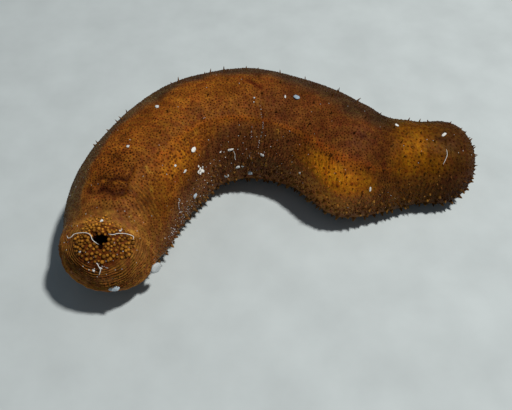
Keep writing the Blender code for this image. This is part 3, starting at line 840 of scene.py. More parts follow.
material, nodes, links, shader = blank_material("moist_skin", 0.6, 0.03)
coordinates = nodes.new("ShaderNodeTexCoord").outputs["Object"]
body_node = nodes.new("ShaderNodeUVMap")
body_node.uv_map = "body_map"
stretch = add_node(nodes, links, "VectorMath", {}, {})
stretch.operation = "MULTIPLY"
stretch.inputs[1].default_value = FINE_CREASE_SCALE
links.new(body_node.outputs["UV"], stretch.inputs[0])
fine_creases = noise_node(nodes, links, stretch.outputs["Vector"], 1.0, 3.0)
grain = noise_node(nodes, links, coordinates, GRAIN_SCALE, 4.0)
blotches = noise_node(nodes, links, coordinates, BLOTCH_SCALE, 4.0)
pores = add_node(nodes, links, "TexVoronoi", {"Scale": PORE_SCALE}, {"Vector": coordinates})
colour = tint_colour(nodes)
for value, darkest, lightest in (
    (grain, 0.72, 1.30),
    (blotches, 0.78, 1.22),
    (fine_creases, 0.82, 1.18),
    (pores.outputs["Distance"], 0.84, 1.12),
):
    colour = scale_colour(nodes, links, colour, spread_node(nodes, links, value, darkest, lightest))
links.new(colour, shader.inputs["Base Color"])
links.new(spread_node(nodes, links, grain, *SKIN_ROUGHNESS), shader.inputs["Roughness"])
creased = bump_node(nodes, links, fine_creases, 0.7, 0.35 * MM, {})
grained = bump_node(nodes, links, grain, 0.6, 0.3 * MM, {"Normal": creased})
links.new(grained, shader.inputs["Normal"])
skin.data.materials.append(material)
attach(skin, "root")
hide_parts("vent_end", "hind_body", "mid_body", "fore_body", "mouth_end")

# The podia of the back. Small soft tube feet without suckers, dark brown to nearly black, stand
# all over the back and flanks, closer where the skin is drawn in and wider apart where it is
# stretched and golden. One low cone each, with a skirt that runs out into the skin.
PODIA_DARK = (0.056, 0.0145, 0.0038)
PODIA_DRAWS = 80000
PODIA_APART = 1.32 * MM
PODIA_APART_GOLDEN = 2.7 * MM
PODIA_APART_FRONT = 2.2 * MM
PODIA_CLOSER = 0.28 * MM
PODIA_RADIUS = 0.40 * MM
PODIA_HEIGHT = 0.42 * MM
PODIA_TIP = (0.140, 0.065, 0.014)
PODIA_TIPPED = 0.06
PODIA_PROFILE = ((1.75, -0.25), (1.15, 0.12), (0.85, 0.45), (0.45, 0.9))
PODIA_SIDES = 7
ROW_START = 40.0
ROW_END = 98.0
ROW_COUNT = 8
ROW_STEP = 3.5
ROW_NARROWING = 0.28
ROW_DOTS_APART = 2.3
ROW_DOTS_KEPT = 0.88
ROW_DOT_RADIUS = 0.52 * MM
ROW_DOT_BROWN = (0.085, 0.022, 0.004)
CUTS = (38.0, 98.0, 158.0, 219.0)
LENGTH_NAMES = ("vent_end", "hind_body", "mid_body", "fore_body", "mouth_end")

cell_area = np.linalg.norm(np.cross(lengthwise_way, crosswise_way), axis=2)[:-1]


def mixed(first, second, share):
    """Two values mixed, with a share from 0 to 1 of the second."""
    return np.asarray(first) * (1 - share) + np.asarray(second) * share


def on_skin(field, rings, columns):
    """The value of a field of the skin at places between its points."""
    ring = np.floor(rings).astype(int)
    column = np.floor(columns).astype(int)
    up = (rings - ring).reshape(-1, *[1] * (field.ndim - 2))
    over = (columns - column).reshape(-1, *[1] * (field.ndim - 2))
    after = (column + 1) % RING_POINTS
    column = column % RING_POINTS
    here = mixed(field[ring, column], field[ring, after], over)
    there = mixed(field[ring + 1, column], field[ring + 1, after], over)
    return mixed(here, there, up)


def place_at(wanted_along, wanted_round):
    """The ring and the column of the skin's point nearest to a place given on the body."""
    turn = (angle_round - wanted_round + 180.0) % 360.0 - 180.0
    away = (along - wanted_along) ** 2 + (0.5 * turn) ** 2 + 1e6 * (inside > 0.0)
    return np.unravel_index(away.argmin(), away.shape)


NEIGHBOURS = [(x, y, z) for x in (-1, 0, 1) for y in (-1, 0, 1) for z in (-1, 0, 1)]


def scattered(draws, apart, allowed):
    """Places on the skin drawn at random and kept where they are far enough from those before."""
    weights = np.cumsum((cell_area * allowed[:-1]).ravel())
    cells = np.searchsorted(weights, chance.uniform(0.0, weights[-1], draws))
    rings = cells // RING_POINTS + chance.uniform(0.0, 1.0, draws)
    columns = cells % RING_POINTS + chance.uniform(0.0, 1.0, draws)
    points = on_skin(skin_points, rings, columns)
    reach = on_skin(np.broadcast_to(apart, along.shape), rings, columns)
    size = float(reach.max())
    near = {}
    kept = []
    boxes = np.floor(points / size).astype(int)
    tries = zip(points.tolist(), reach.tolist(), boxes.tolist())
    for index, (point, room, box) in enumerate(tries):
        if not any(
            math.dist(point, other) < room
            for step in NEIGHBOURS
            for other in near.get((box[0] + step[0], box[1] + step[1], box[2] + step[2]), ())
        ):
            near.setdefault(tuple(box), []).append(point)
            kept.append(index)
    return rings[kept], columns[kept]


def turned_shape(profile, sides):
    """A closed round form about an upright axis: rings of radius and height, and a tip at 1."""
    turn = 2 * math.pi * np.arange(sides) / sides
    rings = [
        np.stack([radius * np.cos(turn), radius * np.sin(turn), np.full(sides, height)], axis=1)
        for radius, height in profile
    ]
    points = np.concatenate([*rings, [(0.0, 0.0, 1.0)]])
    side = np.arange(sides)
    after = (side + 1) % sides
    quads = np.concatenate([
        np.stack([side, after, after + sides, side + sides], axis=1) + ring * sides
        for ring in range(len(profile) - 1)
    ])
    last = (len(profile) - 1) * sides
    tips = np.stack([side + last, after + last, np.full(sides, len(points) - 1)], axis=1)
    return points, quads, tips


def leaning(rings, columns, lean):
    """The skin's outward direction at places on it, leaning by a vector or at random by a share."""
    if np.isscalar(lean):
        lean = chance.normal(scale=lean, size=(len(rings), 3))
    return unit(on_skin(skin_normals, rings, columns) + lean)


def repeated(faces, count, points_each):
    """The faces of one form, for as many of them as there are."""
    shift = (np.arange(count) * points_each)[:, None, None]
    return (faces[None] + shift).reshape(-1, faces.shape[1])


def planted(name, rings, columns, shape, radius, height, axis, root_tint, tip_tint, fade, bend):
    """One mesh of many like growths on the skin, each with its own size, lean and colour."""
    points, quads, tips = shape
    count = len(rings)
    roots = on_skin(skin_points, rings, columns)
    aside = unit(np.cross(axis, unit(chance.normal(size=(count, 3)))))
    other = np.cross(axis, aside)
    curl = np.maximum(points[:, 2], 0.0) ** 2
    bent = points[:, 0] * radius[:, None] + bend * height[:, None] * curl
    offsets = (
        bent[..., None] * aside[:, None]
        + (points[:, 1] * radius[:, None])[..., None] * other[:, None]
        + (points[:, 2] * height[:, None])[..., None] * axis[:, None]
    )
    placed = roots[:, None] + offsets
    risen = np.clip(points[:, 2], 0.0, 1.0) ** fade
    tints = between(root_tint[:, None], tip_tint[:, None], risen[None, :, None])
    faces = [repeated(form, count, len(points)) for form in (quads, tips)]
    flat = points[:, :2] / np.abs(points[:, :2]).max() * (BAKE_PATCH / 2)
    places = (bake_place(rings, columns)[:, None] + flat[None]).reshape(-1, 2)
    corners = np.concatenate([face.ravel() for face in faces])
    return mesh_piece(
        name, placed.reshape(-1, 3), faces, tints.reshape(-1, 3), places[corners]
    )


def growth_material(name, grain_scale, low, high, roughness=0.6, specular=0.03):
    """The tint of a growth, mottled at one scale, with a fine bump of the same grain."""
    material, nodes, links, shader = blank_material(name, roughness, specular)
    coordinates = nodes.new("ShaderNodeTexCoord").outputs["Object"]
    grain = noise_node(nodes, links, coordinates, grain_scale, 3.0)
    shade = spread_node(nodes, links, grain, low, high)
    links.new(scale_colour(nodes, links, tint_colour(nodes), shade), shader.inputs["Base Color"])
    links.new(bump_node(nodes, links, grain, 0.4, 0.1 * MM, {}), shader.inputs["Normal"])
    return material


def rows_narrowing(distance):
    """How much closer together than at their start the dotted rows run, at distances."""
    return 1 - ROW_NARROWING * (distance - ROW_START) / (ROW_END - ROW_START)


on_back = band(angle_round, -14.0, -4.0, 184.0, 196.0)
bare = (vent_spread < 18.0) | (from_mouth < 34.0) | (inside > 0.0)
low_down = ramp(skin_normals[..., 2], -0.55, -0.3)
podia_apart = between(PODIA_APART, PODIA_APART_GOLDEN, ramp(golden, 0.15, 0.6))
podia_apart = np.maximum(podia_apart, PODIA_APART_FRONT * ramp(along, 215.0, 235.0))
podia_apart -= PODIA_CLOSER * patch(23.0, 86.0, 9.0, 20.0)
podia_allowed = on_back * low_down * ~bare
podia_allowed = podia_allowed * (1 - 0.9 * wrinkled)
rows_end = line_round + ROW_STEP * (ROW_COUNT + 0.5) * rows_narrowing(along)
in_rows = ramp(angle_round - line_round, 0.5, 2.0) * (1 - ramp(angle_round - rows_end, -1.0, 1.0))
in_rows *= band(along, ROW_START - 2.0, ROW_START + 4.0, ROW_END - 12.0, ROW_END)
podia_allowed = podia_allowed * (1 - in_rows) * (1 - 0.5 * fanned)
rings, columns = scattered(PODIA_DRAWS, podia_apart, podia_allowed)
row_spots = []
for row in range(1, ROW_COUNT + 1):
    dots = np.arange(ROW_START + 0.5 * ROW_DOTS_APART * (row % 2), ROW_END, ROW_DOTS_APART)
    dot_round = np.interp(dots, *np.transpose(ORANGE_LINE)) + ROW_STEP * row * rows_narrowing(dots)
    row_spots += [
        place_at(at + chance.uniform(-0.25, 0.25), turned + chance.uniform(-0.35, 0.35))
        for at, turned in zip(dots, dot_round) if chance.uniform() < ROW_DOTS_KEPT
    ]
row_spots = np.array(row_spots)
in_row = np.arange(len(rings) + len(row_spots)) >= len(rings)
rings = np.concatenate([rings, row_spots[:, 0] + chance.uniform(0.0, 0.9, len(row_spots))])
columns = np.concatenate([columns, row_spots[:, 1] + chance.uniform(0.0, 0.9, len(row_spots))])
podia_along = on_skin(along, rings, columns)
podia_fields = [on_skin(field, rings, columns) for field in (
    ramp(angle_round, 135.0, 165.0) * (1 - golden),
    golden,
    0.45 + 0.55 * ramp(angle_round, 35.0, 65.0),
    patch(32.0, 83.0, 20.0, 21.0, 0.35, 1.5),
    0.75 * (1 - ramp(along, -2.0, 18.0)),
    ramp(along, 222.0, 236.0),
)]
podia_material = growth_material("dark_podia", 2200.0, 0.8, 1.2)
podia_shape = turned_shape(PODIA_PROFILE, PODIA_SIDES)
for name, start, end in zip(LENGTH_NAMES, (-1e3, *CUTS), (*CUTS, 1e3)):
    here = (podia_along > start) & (podia_along <= end)
    count = int(here.sum())
    ring, column, dotted = rings[here], columns[here], in_row[here]
    flank, stretched, low, black, faded, front = (field[here] for field in podia_fields)
    tipped = (chance.uniform(size=count) < PODIA_TIPPED * flank)[:, None]
    tips = np.where(tipped, PODIA_TIP, PODIA_DARK) * chance.uniform(0.5, 2.2, (count, 1))
    tips = tips * (1 - 0.72 * black + 0.8 * stretched + 0.3 * front)[:, None]
    tips[dotted] = np.array(ROW_DOT_BROWN) * chance.uniform(0.8, 1.25, (int(dotted.sum()), 1))
    roots = on_skin(tint, ring, column)
    tips = np.where(tipped, tips, np.minimum(tips, 0.62 * roots))
    podia = planted(
        f"podia_{name}", ring, column, podia_shape,
        np.where(dotted, ROW_DOT_RADIUS, PODIA_RADIUS) * chance.uniform(0.6, 1.25, count)
        * (1.0 - 0.15 * flank + 0.5 * stretched + 0.25 * black + 0.3 * front),
        PODIA_HEIGHT * chance.uniform(0.8, 1.3, count) * (1.0 + 0.8 * flank) * low,
        leaning(ring, column, 0.14),
        roots * (0.92, 0.84, 0.8),
        between(tips, 0.75 * roots, faded[:, None]),
        fade=0.45, bend=0.1,
    )
    podia.data.materials.append(podia_material)
    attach(podia, "root")

# The papillae. Slender soft points, dark brown, one to three and a half millimetres long. They
# are few on the back, where they show as spikes along the outline, and closer together on the
# front end.
PAPILLA_DRAWS = 9000
PAPILLA_APART = 13.0 * MM
PAPILLA_APART_FRONT = 6.2 * MM
PAPILLA_LENGTH = (1.4 * MM, 3.0 * MM)
FAR_PAPILLA_LENGTH = (2.3 * MM, 3.6 * MM)
PAPILLA_RADIUS = 0.62 * MM
PAPILLA_PROFILE = ((1.9, -0.12), (1.15, 0.04), (0.82, 0.16), (0.66, 0.34), (0.5, 0.56), (0.3, 0.8))
PAPILLA_SIDES = 10
PAPILLA_TIP = (0.105, 0.040, 0.009)
FAR_PAPILLAE = (
    (48.5, 45.0), (62.5, 51.0), (64.5, 52.0), (100.5, 59.0), (116.5, 61.0), (123.5, 61.0),
    (134.5, 61.0), (152.0, 60.0), (165.5, 59.0), (187.0, 57.0), (202.0, 57.0), (219.5, 62.0),
    (242.5, 59.0), (250.0, 57.0), (254.5, 56.0), (267.3, 64.0), (272.6, 72.0), (274.5, 80.0),
    (276.6, 86.0), (278.4, 102.0), (279.1, 120.0), (279.4, 144.0),
)

papilla_apart = between(PAPILLA_APART, PAPILLA_APART_FRONT, ramp(along, 205.0, 235.0))
near_outline = band(angle_round, 34.0, 42.0, 70.0, 80.0)
papilla_allowed = on_back * low_down * ramp(along, 40.0, 52.0) * ~bare * (1 - near_outline)
rings, columns = scattered(PAPILLA_DRAWS, papilla_apart, papilla_allowed)
far_spots = np.array([place_at(*place) for place in FAR_PAPILLAE])
rings = np.concatenate([rings, far_spots[:, 0]])
columns = np.concatenate([columns, far_spots[:, 1]])
count = len(rings)
papilla_length = chance.uniform(*PAPILLA_LENGTH, count)
papilla_length[-len(far_spots):] = chance.uniform(*FAR_PAPILLA_LENGTH, len(far_spots))
papilla_length *= 1 - 0.25 * on_skin(ramp(along, 238.0, 256.0), rings, columns)
papillae = planted(
    "papillae", rings, columns, turned_shape(PAPILLA_PROFILE, PAPILLA_SIDES),
    PAPILLA_RADIUS * chance.uniform(0.8, 1.15, count),
    papilla_length,
    leaning(rings, columns, 0.16),
    on_skin(tint, rings, columns) * 0.8,
    np.array(PAPILLA_TIP) * chance.uniform(0.5, 1.5, (count, 1)),
    fade=0.45, bend=0.22,
)
papillae.data.materials.append(growth_material("papillae", 1600.0, 0.75, 1.2))
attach(papillae, "root")

# The fringe. Stubby cones with golden tips, in uneven rows low on both flanks and round the
# ends, thickest along the edge of the sole.
FRINGE_DRAWS = 16000
FRINGE_APART = 5.0 * MM
FRINGE_LENGTH = (1.3 * MM, 3.0 * MM)
FRINGE_RADIUS = 1.2 * MM
FRINGE_PROFILE = ((1.5, -0.2), (1.05, 0.05), (0.86, 0.25), (0.66, 0.5), (0.42, 0.78), (0.2, 0.94))
FRINGE_SIDES = 9
FRINGE_TIP = (0.360, 0.170, 0.032)

shortest, longest = FRINGE_LENGTH
fringe_top = -0.08 + 0.43 * (1 - ramp(along, 2.0, 40.0))
fringe_band = ramp(-skin_normals[..., 2] - fringe_top, 0.0, 0.4) * (skin_points[..., 2] > 3.4 * MM)
fringe_band *= ramp(along, 0.0, 25.0) * (1 - patch(-1.6, 195.0, 6.0, 14.0))
fringe_allowed = fringe_band * (from_mouth > 32.0) * (vent_spread > 30.0) * (inside == 0.0)
rings, columns = scattered(FRINGE_DRAWS, FRINGE_APART, fringe_allowed)
count = len(rings)
outward = on_skin(skin_normals, rings, columns) * (1.0, 1.0, 0.0)
lowness = ramp(-on_skin(skin_normals, rings, columns)[:, 2], -0.3, 0.5)
brightness = on_skin(0.75 + 0.25 * ramp(along, 150.0, 185.0), rings, columns)
fringe = planted(
    "fringe", rings, columns, turned_shape(FRINGE_PROFILE, FRINGE_SIDES),
    FRINGE_RADIUS * chance.uniform(0.7, 1.15, count),
    shortest + (longest - shortest) * lowness * chance.uniform(0.3, 1.0, count),
    leaning(rings, columns, outward * 0.8 + chance.normal(scale=0.15, size=(count, 3))),
    on_skin(tint, rings, columns) * 0.8,
    np.array(FRINGE_TIP) * chance.uniform(0.3, 1.0, (count, 1)) ** 2 * brightness[:, None],
    fade=1.3, bend=0.15,
)
fringe.data.materials.append(growth_material("fringe", 1600.0, 0.8, 1.2))
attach(fringe, "root")

# The feet of the sole. Short soft tubes with a flat sucker at the end stand close together all
# over the sole and hold the animal up, just clear of the floor between them.
FOOT_DRAWS = 14000
FOOT_APART = 2.9 * MM
FOOT_RADIUS = 0.62 * MM
FOOT_PROFILE = (
    (1.3, -0.3), (0.85, 0.15), (0.7, 0.45), (0.75, 0.72), (1.1, 0.86), (1.12, 0.98), (0.4, 0.99)
)
FOOT_SIDES = 9
FOOT_TIP = (0.240, 0.140, 0.050)

on_sole = ramp(-skin_normals[..., 2], 0.75, 0.95) * (skin_points[..., 2] < 2.6 * MM)
rings, columns = scattered(FOOT_DRAWS, FOOT_APART, on_sole * (from_mouth > 28.0) * (inside == 0.0))
count = len(rings)
root_height = on_skin(skin_points, rings, columns)[:, 2]
feet = planted(
    "sole_feet", rings, columns, turned_shape(FOOT_PROFILE, FOOT_SIDES),
    FOOT_RADIUS * chance.uniform(0.8, 1.15, count), root_height,
    np.tile((0.0, 0.0, -1.0), (count, 1)),
    on_skin(tint, rings, columns),
    np.array(FOOT_TIP) * chance.uniform(0.7, 1.2, (count, 1)),
    fade=1.0, bend=0.0,
)
feet.data.materials.append(growth_material("sole_feet", 1600.0, 0.8, 1.2))
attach(feet, "root")

# The tubercles round the vent. Round golden knobs, packed in uneven rings, largest beside and
# below the vent and small above it, each on a dark foot.
TUBERCLE_DRAWS = 9000
TUBERCLE_APART = 1.6 * MM
TUBERCLE_APART_ABOVE = 1.5 * MM
TUBERCLE_RADIUS = 0.90 * MM
TUBERCLE_HEIGHT = 1.25 * MM
TUBERCLE_PROFILE = (
    (1.2, -0.35), (1.0, 0.02), (1.04, 0.28), (0.98, 0.5), (0.84, 0.7), (0.6, 0.87), (0.3, 0.97)
)
TUBERCLE_SIDES = 14
TUBERCLE_GOLD = (0.385, 0.158, 0.018)
TUBERCLE_FOOT = np.array((0.050, 0.014, 0.003))
TUBERCLES_BELOW = 9.5
TUBERCLES_ABOVE = 14.0
TUBERCLES_BESIDE = 15.5

edge_of_patch = between(TUBERCLES_BELOW, TUBERCLES_BESIDE, ramp(toward_top, -0.95, -0.3))
edge_of_patch += (TUBERCLES_ABOVE - TUBERCLES_BESIDE) * ramp(toward_top, 0.0, 0.8)
edge_of_patch += 1.6 * broad_noise + 0.8 * fine_noise
tubercle_allowed = (vent_spread < edge_of_patch) * (inside == 0.0) * (along < 40.0)
tubercle_apart = between(TUBERCLE_APART, TUBERCLE_APART_ABOVE, ramp(toward_top, 0.0, 0.7))
below_vent = ramp(-toward_top, 0.75, 0.97) * bell(vent_spread - 7.5, 3.0)
tubercle_apart *= 1 + 0.25 * below_vent
rings, columns = scattered(TUBERCLE_DRAWS, tubercle_apart, tubercle_allowed)
count = len(rings)
size = on_skin(1 - 0.35 * ramp(toward_top, 0.1, 0.7) * ramp(vent_spread, 6.0, 12.0), rings, columns)
size *= chance.uniform(0.72, 1.12, count)
above = on_skin(ramp(toward_top, 0.0, 0.6), rings, columns)[:, None]
tubercles = planted(
    "vent_tubercles", rings, columns, turned_shape(TUBERCLE_PROFILE, TUBERCLE_SIDES),
    TUBERCLE_RADIUS * size * chance.uniform(0.9, 1.1, count),
    TUBERCLE_HEIGHT * size,
    leaning(rings, columns, 0.22),
    between(TUBERCLE_FOOT, 0.6 * on_skin(tint, rings, columns), above),
    np.array(TUBERCLE_GOLD) * chance.uniform(0.4, 1.15, (count, 1)) * (1 + 0.5 * above),
    fade=0.9, bend=0.12,
)
tubercle_material = growth_material("golden_tubercles", 1800.0, 0.8, 1.15, 0.55, 0.05)
tubercles.data.materials.append(tubercle_material)
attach(tubercles, "root")

# The tentacles. Twenty short stalks with lobed, cushion-like heads, soft and dark brown,
# drawn back into the mouth in two rings round a middle one.
TENTACLE_RINGS = ((0.68, 13), (0.33, 6), (0.0, 1))
TENTACLE_RADIUS = 1.35 * MM
TENTACLE_PROFILE = (
    (0.55, 0.0), (0.42, 0.3), (0.45, 0.5), (0.8, 0.62), (1.0, 0.76), (0.9, 0.9), (0.55, 0.98)
)
TENTACLE_SIDES = 28
TENTACLE_LOBES = 7
TENTACLE_BROWN = (0.090, 0.040, 0.014)
TENTACLE_TIP = (0.200, 0.110, 0.045)

pit_floor = skin_points[-1].mean(axis=0)
mouth_rim = skin_points[FIRST_PIT - 1]
mouth_middle = mouth_rim.mean(axis=0)
mouth_way = unit(mouth_middle - pit_floor)
pit_radius = np.linalg.norm(mouth_rim - mouth_middle, axis=1).mean() * 0.85
mouth_side = unit(np.cross(mouth_way, UP))
mouth_up = np.cross(mouth_side, mouth_way)
points, quads, tips = turned_shape(TENTACLE_PROFILE, TENTACLE_SIDES)
lobe_turn = np.arctan2(points[:, 1], points[:, 0])
lobed = 1.0 + 0.22 * ramp(points[:, 2], 0.5, 0.75) * np.cos(TENTACLE_LOBES * lobe_turn)
tentacle_points = []
for share, how_many in TENTACLE_RINGS:
    for index in range(how_many):
        turn = 2 * math.pi * (index + 0.5 * (how_many == 6)) / how_many
        way = mouth_side * math.cos(turn) + mouth_up * math.sin(turn)
        foot = pit_floor + pit_radius * share * way
        tall = MOUTH_DEPTH * MM * chance.uniform(0.62, 0.8)
        wide = TENTACLE_RADIUS * chance.uniform(0.9, 1.08) * lobed
        tentacle_points.append(
            foot
            + (points[:, 0] * wide)[:, None] * mouth_side
            + (points[:, 1] * wide)[:, None] * mouth_up
            + (points[:, 2] * tall)[:, None] * mouth_way
        )
tentacle_count = len(tentacle_points)
tentacle_faces = [repeated(form, tentacle_count, len(points)) for form in (quads, tips)]
risen = ramp(points[:, 2], 0.5, 1.0)[:, None]
tentacle_tints = np.tile(mixed(TENTACLE_BROWN, TENTACLE_TIP, risen), (tentacle_count, 1))
tile_width = 1.0 / tentacle_count
tiles = np.stack([
    (np.arange(tentacle_count)[:, None] + 0.5 + 0.45 * points[None, :, 0]) * tile_width,
    np.broadcast_to(0.5 + 0.45 * points[None, :, 1], (tentacle_count, len(points))),
], axis=-1).reshape(-1, 2)
corners = np.concatenate([face.ravel() for face in tentacle_faces])
tentacles = mesh_piece(
    "tentacles", np.concatenate(tentacle_points), tentacle_faces, tentacle_tints, tiles[corners]
)
tentacles.data.materials.append(growth_material("tentacles", 1500.0, 0.7, 1.25, 0.55, 0.05))
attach(tentacles, "root")
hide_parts("mouth_tentacles")

# What has stuck to it. Pale grains of coral sand cling to the slime, thinly on the back and
# thickly low on the inner flank, with larger chips of shell and a few fine white threads. The
# grains and chips are partly sunk in the skin, and the threads hang just clear of it.
SHELL_WHITE = (0.780, 0.760, 0.710)
SHELL_BLUE = (0.330, 0.420, 0.500)
GRAIN_RADIUS = 0.30 * MM
GRAIN_DRAWS = 1700
GRAIN_PROFILE = ((0.9, -0.2), (1.0, 0.25), (0.7, 0.8))

# Each chip's place along and round the body, its half length and half width in millimetres, how
# it is turned, in radians, and its share of blue.
CHIPS = (
    (-3.0, 191.0, 3.9, 2.9, 0.5, 0.45),
    (-5.2, 192.0, 1.8, 1.4, 0.8, 0.2),
    (-20.8, 198.0, 2.9, 1.5, 1.5, 0.75),
    (76.6, 136.9, 1.9, 1.2, -0.3, 0.0),
    (70.6, 156.5, 1.0, 0.8, 0.9, 0.0),
    (72.3, 159.6, 1.3, 0.8, 0.2, 0.0),
    (74.6, 158.8, 1.5, 0.9, 2.2, 0.0),
    (73.2, 155.8, 1.1, 0.7, 0.4, 0.0),
    (76.4, 157.2, 0.7, 0.6, 0.9, 0.0),
    (73.6, 152.8, 0.7, 0.5, 1.2, 0.0),
    (113.2, 158.2, 2.0, 0.7, 0.1, 0.0),
    (147.0, 165.0, 1.5, 0.7, 0.0, 0.2),
    (134.3, 188.6, 1.6, 1.3, 0.4, 0.8),
    (105.4, 186.6, 1.5, 1.2, 0.3, 0.3),
    (58.5, 175.6, 1.6, 1.1, 0.5, 0.8),
    (78.7, 81.4, 1.0, 1.2, 0.2, 0.4),
    (47.1, 88.8, 0.9, 0.8, 0.2, 0.3),
    (165.7, 97.5, 1.9, 1.4, -0.2, 1.0),
    (218.6, 158.0, 0.6, 1.4, 0.1, 0.0),
    (231.7, 77.0, 1.2, 1.0, 2.8, 0.1),
    (259.7, 93.4, 1.9, 0.8, 0.6, 0.1),
    (59.8, 146.0, 1.2, 0.6, 0.2, 0.2),
    (56.3, 135.6, 0.8, 0.6, 0.2, 0.0),
    (102.0, 157.4, 0.9, 0.4, 0.2, 0.0),
    (119.8, 180.0, 1.4, 0.9, 0.2, 0.3),
    (126.0, 179.6, 1.1, 0.7, 0.4, 0.1),
    (179.8, 171.0, 0.8, 0.7, 0.2, 0.0),
    (138.8, 109.6, 0.7, 0.4, 0.1, 0.6),
    (138.4, 113.5, 0.45, 0.35, 0.1, 0.5),
    (158.6, 100.4, 0.5, 1.2, 0.1, 0.2),
    (-19.7, 95.5, 0.9, 0.7, 0.4, 0.1),
    (-18.6, 108.0, 0.8, 0.6, 0.8, 0.1),
    (-14.0, 72.6, 0.9, 0.7, 0.4, 0.2),
    (-0.8, 115.2, 1.0, 0.6, 0.3, 0.1),
    (2.1, 91.4, 0.7, 0.9, 0.3, 0.1),
)

# Where each chain of grains starts and ends, and how many grains it has.
GRAIN_CHAINS = (
    ((142.8, 117.0), (144.9, 128.4), 6),
    ((145.5, 131.0), (145.9, 138.0), 7),
    ((144.9, 142.0), (144.2, 148.5), 6),
    ((143.4, 150.0), (142.6, 158.0), 5),
    ((136.6, 137.8), (135.1, 150.0), 7),
    ((134.1, 165.0), (134.1, 171.0), 4),
    ((36.5, 172.0), (38.5, 163.0), 12),
    ((38.5, 163.0), (42.5, 161.5), 6),
    ((36.5, 172.0), (40.0, 176.5), 8),
    ((25.0, 181.0), (20.0, 180.0), 6),
    ((6.0, 207.0), (15.4, 202.5), 7),
    ((15.4, 202.5), (27.4, 201.2), 8),
    ((96.0, 120.0), (101.5, 120.6), 4),
    ((-19.5, 93.5), (-20.0, 98.5), 6),
    ((-17.8, 110.0), (-17.6, 122.0), 7),
)

# Each thread's radius, how far it stands off the skin, and the places that it runs over.
THREADS = (
    (0.17 * MM, 1.95 * MM, (
        (-6.4, 50.5), (-8.1, 54.5), (-7.8, 60.5), (-6.7, 65.9),
        (-6.4, 77.6), (-7.3, 84.6), (-9.1, 89.5), (-11.4, 94.8),
    )),
    (0.17 * MM, 1.45 * MM, (
        (-5.6, 103.8), (-5.4, 108.7), (-3.9, 113.5), (-3.0, 118.7),
        (-1.9, 124.2), (-2.5, 129.7), (-3.6, 133.1),
    )),
    (0.15 * MM, 0.6 * MM, ((258.9, 115.7), (258.9, 123.4), (257.8, 129.2), (256.6, 134.8))),
    (0.13 * MM, 0.9 * MM, ((116.7, 158.8), (117.3, 163.5), (117.7, 166.8), (117.7, 170.3))),
    (0.22 * MM, 1.3 * MM, (
        (-17.0, 99.3), (-17.5, 101.4), (-18.0, 105.7),
        (-18.8, 108.8), (-19.5, 110.4), (-19.8, 107.5),
    )),
)
THREAD_SIDES = 8
THREAD_STEPS = 60
THREAD_THINNEST = 0.25

sandy = np.maximum.reduce([
    np.full(along.shape, 0.0015) * ramp(broad_noise, -0.4, 0.8),
    0.5 * patch(44.0, 182.0, 18.0, 9.0),
    0.7 * patch(21.0, 181.0, 8.0, 6.0),
    0.05 * patch(110.0, 170.0, 40.0, 14.0),
    0.16 * bell(vent_spread - 14.0, 4.0) * ramp(broad_noise, -0.2, 0.6),
])
grain_apart = (1.1 + 2.2 * (1 - ramp(sandy, 0.05, 0.5))) * MM
rings, columns = scattered(GRAIN_DRAWS, grain_apart, sandy * (inside == 0.0) * low_down)
chain_spots = np.array([
    place_at(
        start[0] + (end[0] - start[0]) * (index + chance.uniform(-0.3, 0.3)) / how_many,
        start[1] + (end[1] - start[1]) * (index + chance.uniform(-0.3, 0.3)) / how_many,
    )
    for start, end, how_many in GRAIN_CHAINS for index in range(how_many)
])
rings = np.concatenate([rings, chain_spots[:, 0] + chance.uniform(0.0, 0.9, len(chain_spots))])
columns = np.concatenate([columns, chain_spots[:, 1] + chance.uniform(0.0, 0.9, len(chain_spots))])
count = len(rings)
pale = chance.uniform(0.45, 1.0, (count, 1))
blue = chance.uniform(0.0, 0.35, (count, 1))
grain_tints = mixed(SHELL_WHITE, SHELL_BLUE, blue) * pale
grain_size = GRAIN_RADIUS * chance.uniform(0.45, 1.1, count)
grain_size[-len(chain_spots):] *= 0.95
grains = planted(
    "sand_grains", rings, columns, turned_shape(GRAIN_PROFILE, 6), grain_size,
    grain_size * chance.uniform(0.8, 1.5, count), leaning(rings, columns, 0.3),
    grain_tints, grain_tints, fade=1.0, bend=0.3,
)
grains.data.materials.append(growth_material("coral_sand", 2400.0, 0.75, 1.15, 0.5, 0.2))

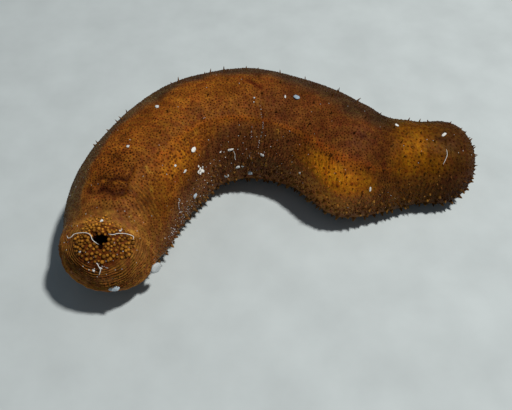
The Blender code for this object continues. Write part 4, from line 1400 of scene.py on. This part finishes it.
ball = bmesh.new()
bmesh.ops.create_icosphere(ball, subdivisions=3, radius=1.0)
ball_points = np.array([tuple(point.co) for point in ball.verts])
ball_faces = np.array([[point.index for point in face.verts] for face in ball.faces])
ball.free()
chip_points = []
chip_tints = []
chip_places = []
for index, (at, turned, long, wide, turn, blue) in enumerate(CHIPS):
    ring, column = place_at(at, turned)
    normal = skin_normals[ring, column]
    ahead = unit(lengthwise_way[ring, column])
    across = np.cross(normal, ahead)
    first = ahead * math.cos(turn) + across * math.sin(turn)
    second = np.cross(normal, first)
    bumpy = 1.0 + (0.26 - 0.05 * long) * soft_noise(ball_points, 0.9)
    bumpy += 0.08 * soft_noise(ball_points, 0.35)
    flat = np.sign(ball_points) * np.abs(ball_points) ** 0.8 * bumpy[:, None]
    thick = 0.42 * min(long, wide)
    proud = min(0.25, 0.55 * thick) + 0.75 * max(long - 2.5, 0.0)
    chip_points.append(
        skin_points[ring, column]
        + MM * (
            (flat[:, 0] * long)[:, None] * first
            + (flat[:, 1] * wide)[:, None] * second
            + (flat[:, 2] * thick + 0.35 * thick + proud)[:, None] * normal
        )
    )
    shade = mixed(SHELL_WHITE, SHELL_BLUE, blue)
    chip_tints.append(np.tile(shade * chance.uniform(0.85, 1.1), (len(ball_points), 1)))
    half = (ball_points[ball_faces].mean(axis=1)[:, 2] > 0.0).astype(float)[:, None]
    flat_places = ball_points[ball_faces][..., :2] * 0.45 + 0.5
    chip_places.append(np.stack([
        (index + (flat_places[..., 0] + half) / 2) / len(CHIPS), flat_places[..., 1],
    ], axis=-1).reshape(-1, 2))
chips = mesh_piece(
    "shell_chips",
    np.concatenate(chip_points),
    [repeated(ball_faces, len(CHIPS), len(ball_points))],
    np.concatenate(chip_tints),
    np.concatenate(chip_places),
)
chips.data.materials.append(growth_material("shell", 1300.0, 0.8, 1.1, 0.45, 0.25))

thread_points = []
thread_faces = []
thread_places = []
turn = 2 * math.pi * np.arange(THREAD_SIDES) / THREAD_SIDES
for index, (radius, clearance, route) in enumerate(THREADS):
    spots = [place_at(*place) for place in route]
    knots = np.array([skin_points[spot] + skin_normals[spot] * clearance for spot in spots])
    line = smooth_curve(knots, np.linspace(0.0, len(knots) - 1, THREAD_STEPS))
    up = unit(np.array([skin_normals[spot] for spot in spots]).mean(axis=0))
    ahead = unit(np.gradient(line, axis=0))
    aside = unit(np.cross(ahead, up))
    other = np.cross(aside, ahead)
    taper = 3 * np.sin(np.linspace(0.05, math.pi - 0.05, THREAD_STEPS))
    thin = radius * np.clip(taper, THREAD_THINNEST, 1.0)
    thread_points.append(
        line[:, None]
        + (thin[:, None] * np.cos(turn))[..., None] * aside[:, None]
        + (thin[:, None] * np.sin(turn))[..., None] * other[:, None]
    )
    step, side = np.meshgrid(np.arange(THREAD_STEPS - 1), np.arange(THREAD_SIDES), indexing="ij")
    after = (side + 1) % THREAD_SIDES
    shift = index * THREAD_STEPS * THREAD_SIDES
    thread_faces.append(shift + np.stack([
        step * THREAD_SIDES + after, step * THREAD_SIDES + side,
        (step + 1) * THREAD_SIDES + side, (step + 1) * THREAD_SIDES + after,
    ], axis=-1).reshape(-1, 4))
    across = np.stack([side + 1, side, side, side + 1], axis=-1) / THREAD_SIDES
    onward = np.stack([step, step, step + 1, step + 1], axis=-1) / (THREAD_STEPS - 1)
    thread_places.append(np.stack([
        (index + 0.05 + 0.9 * across) / len(THREADS), 0.02 + 0.96 * onward,
    ], axis=-1).reshape(-1, 2))
thread_mesh_points = np.concatenate(thread_points).reshape(-1, 3)
threads = mesh_piece(
    "white_threads", thread_mesh_points, [np.concatenate(thread_faces)],
    np.tile(SHELL_WHITE, (len(thread_mesh_points), 1)), np.concatenate(thread_places),
)
threads.data.materials.append(growth_material("white_threads", 2400.0, 0.85, 1.1, 0.5, 0.2))
for piece in (grains, chips, threads):
    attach(piece, "root")
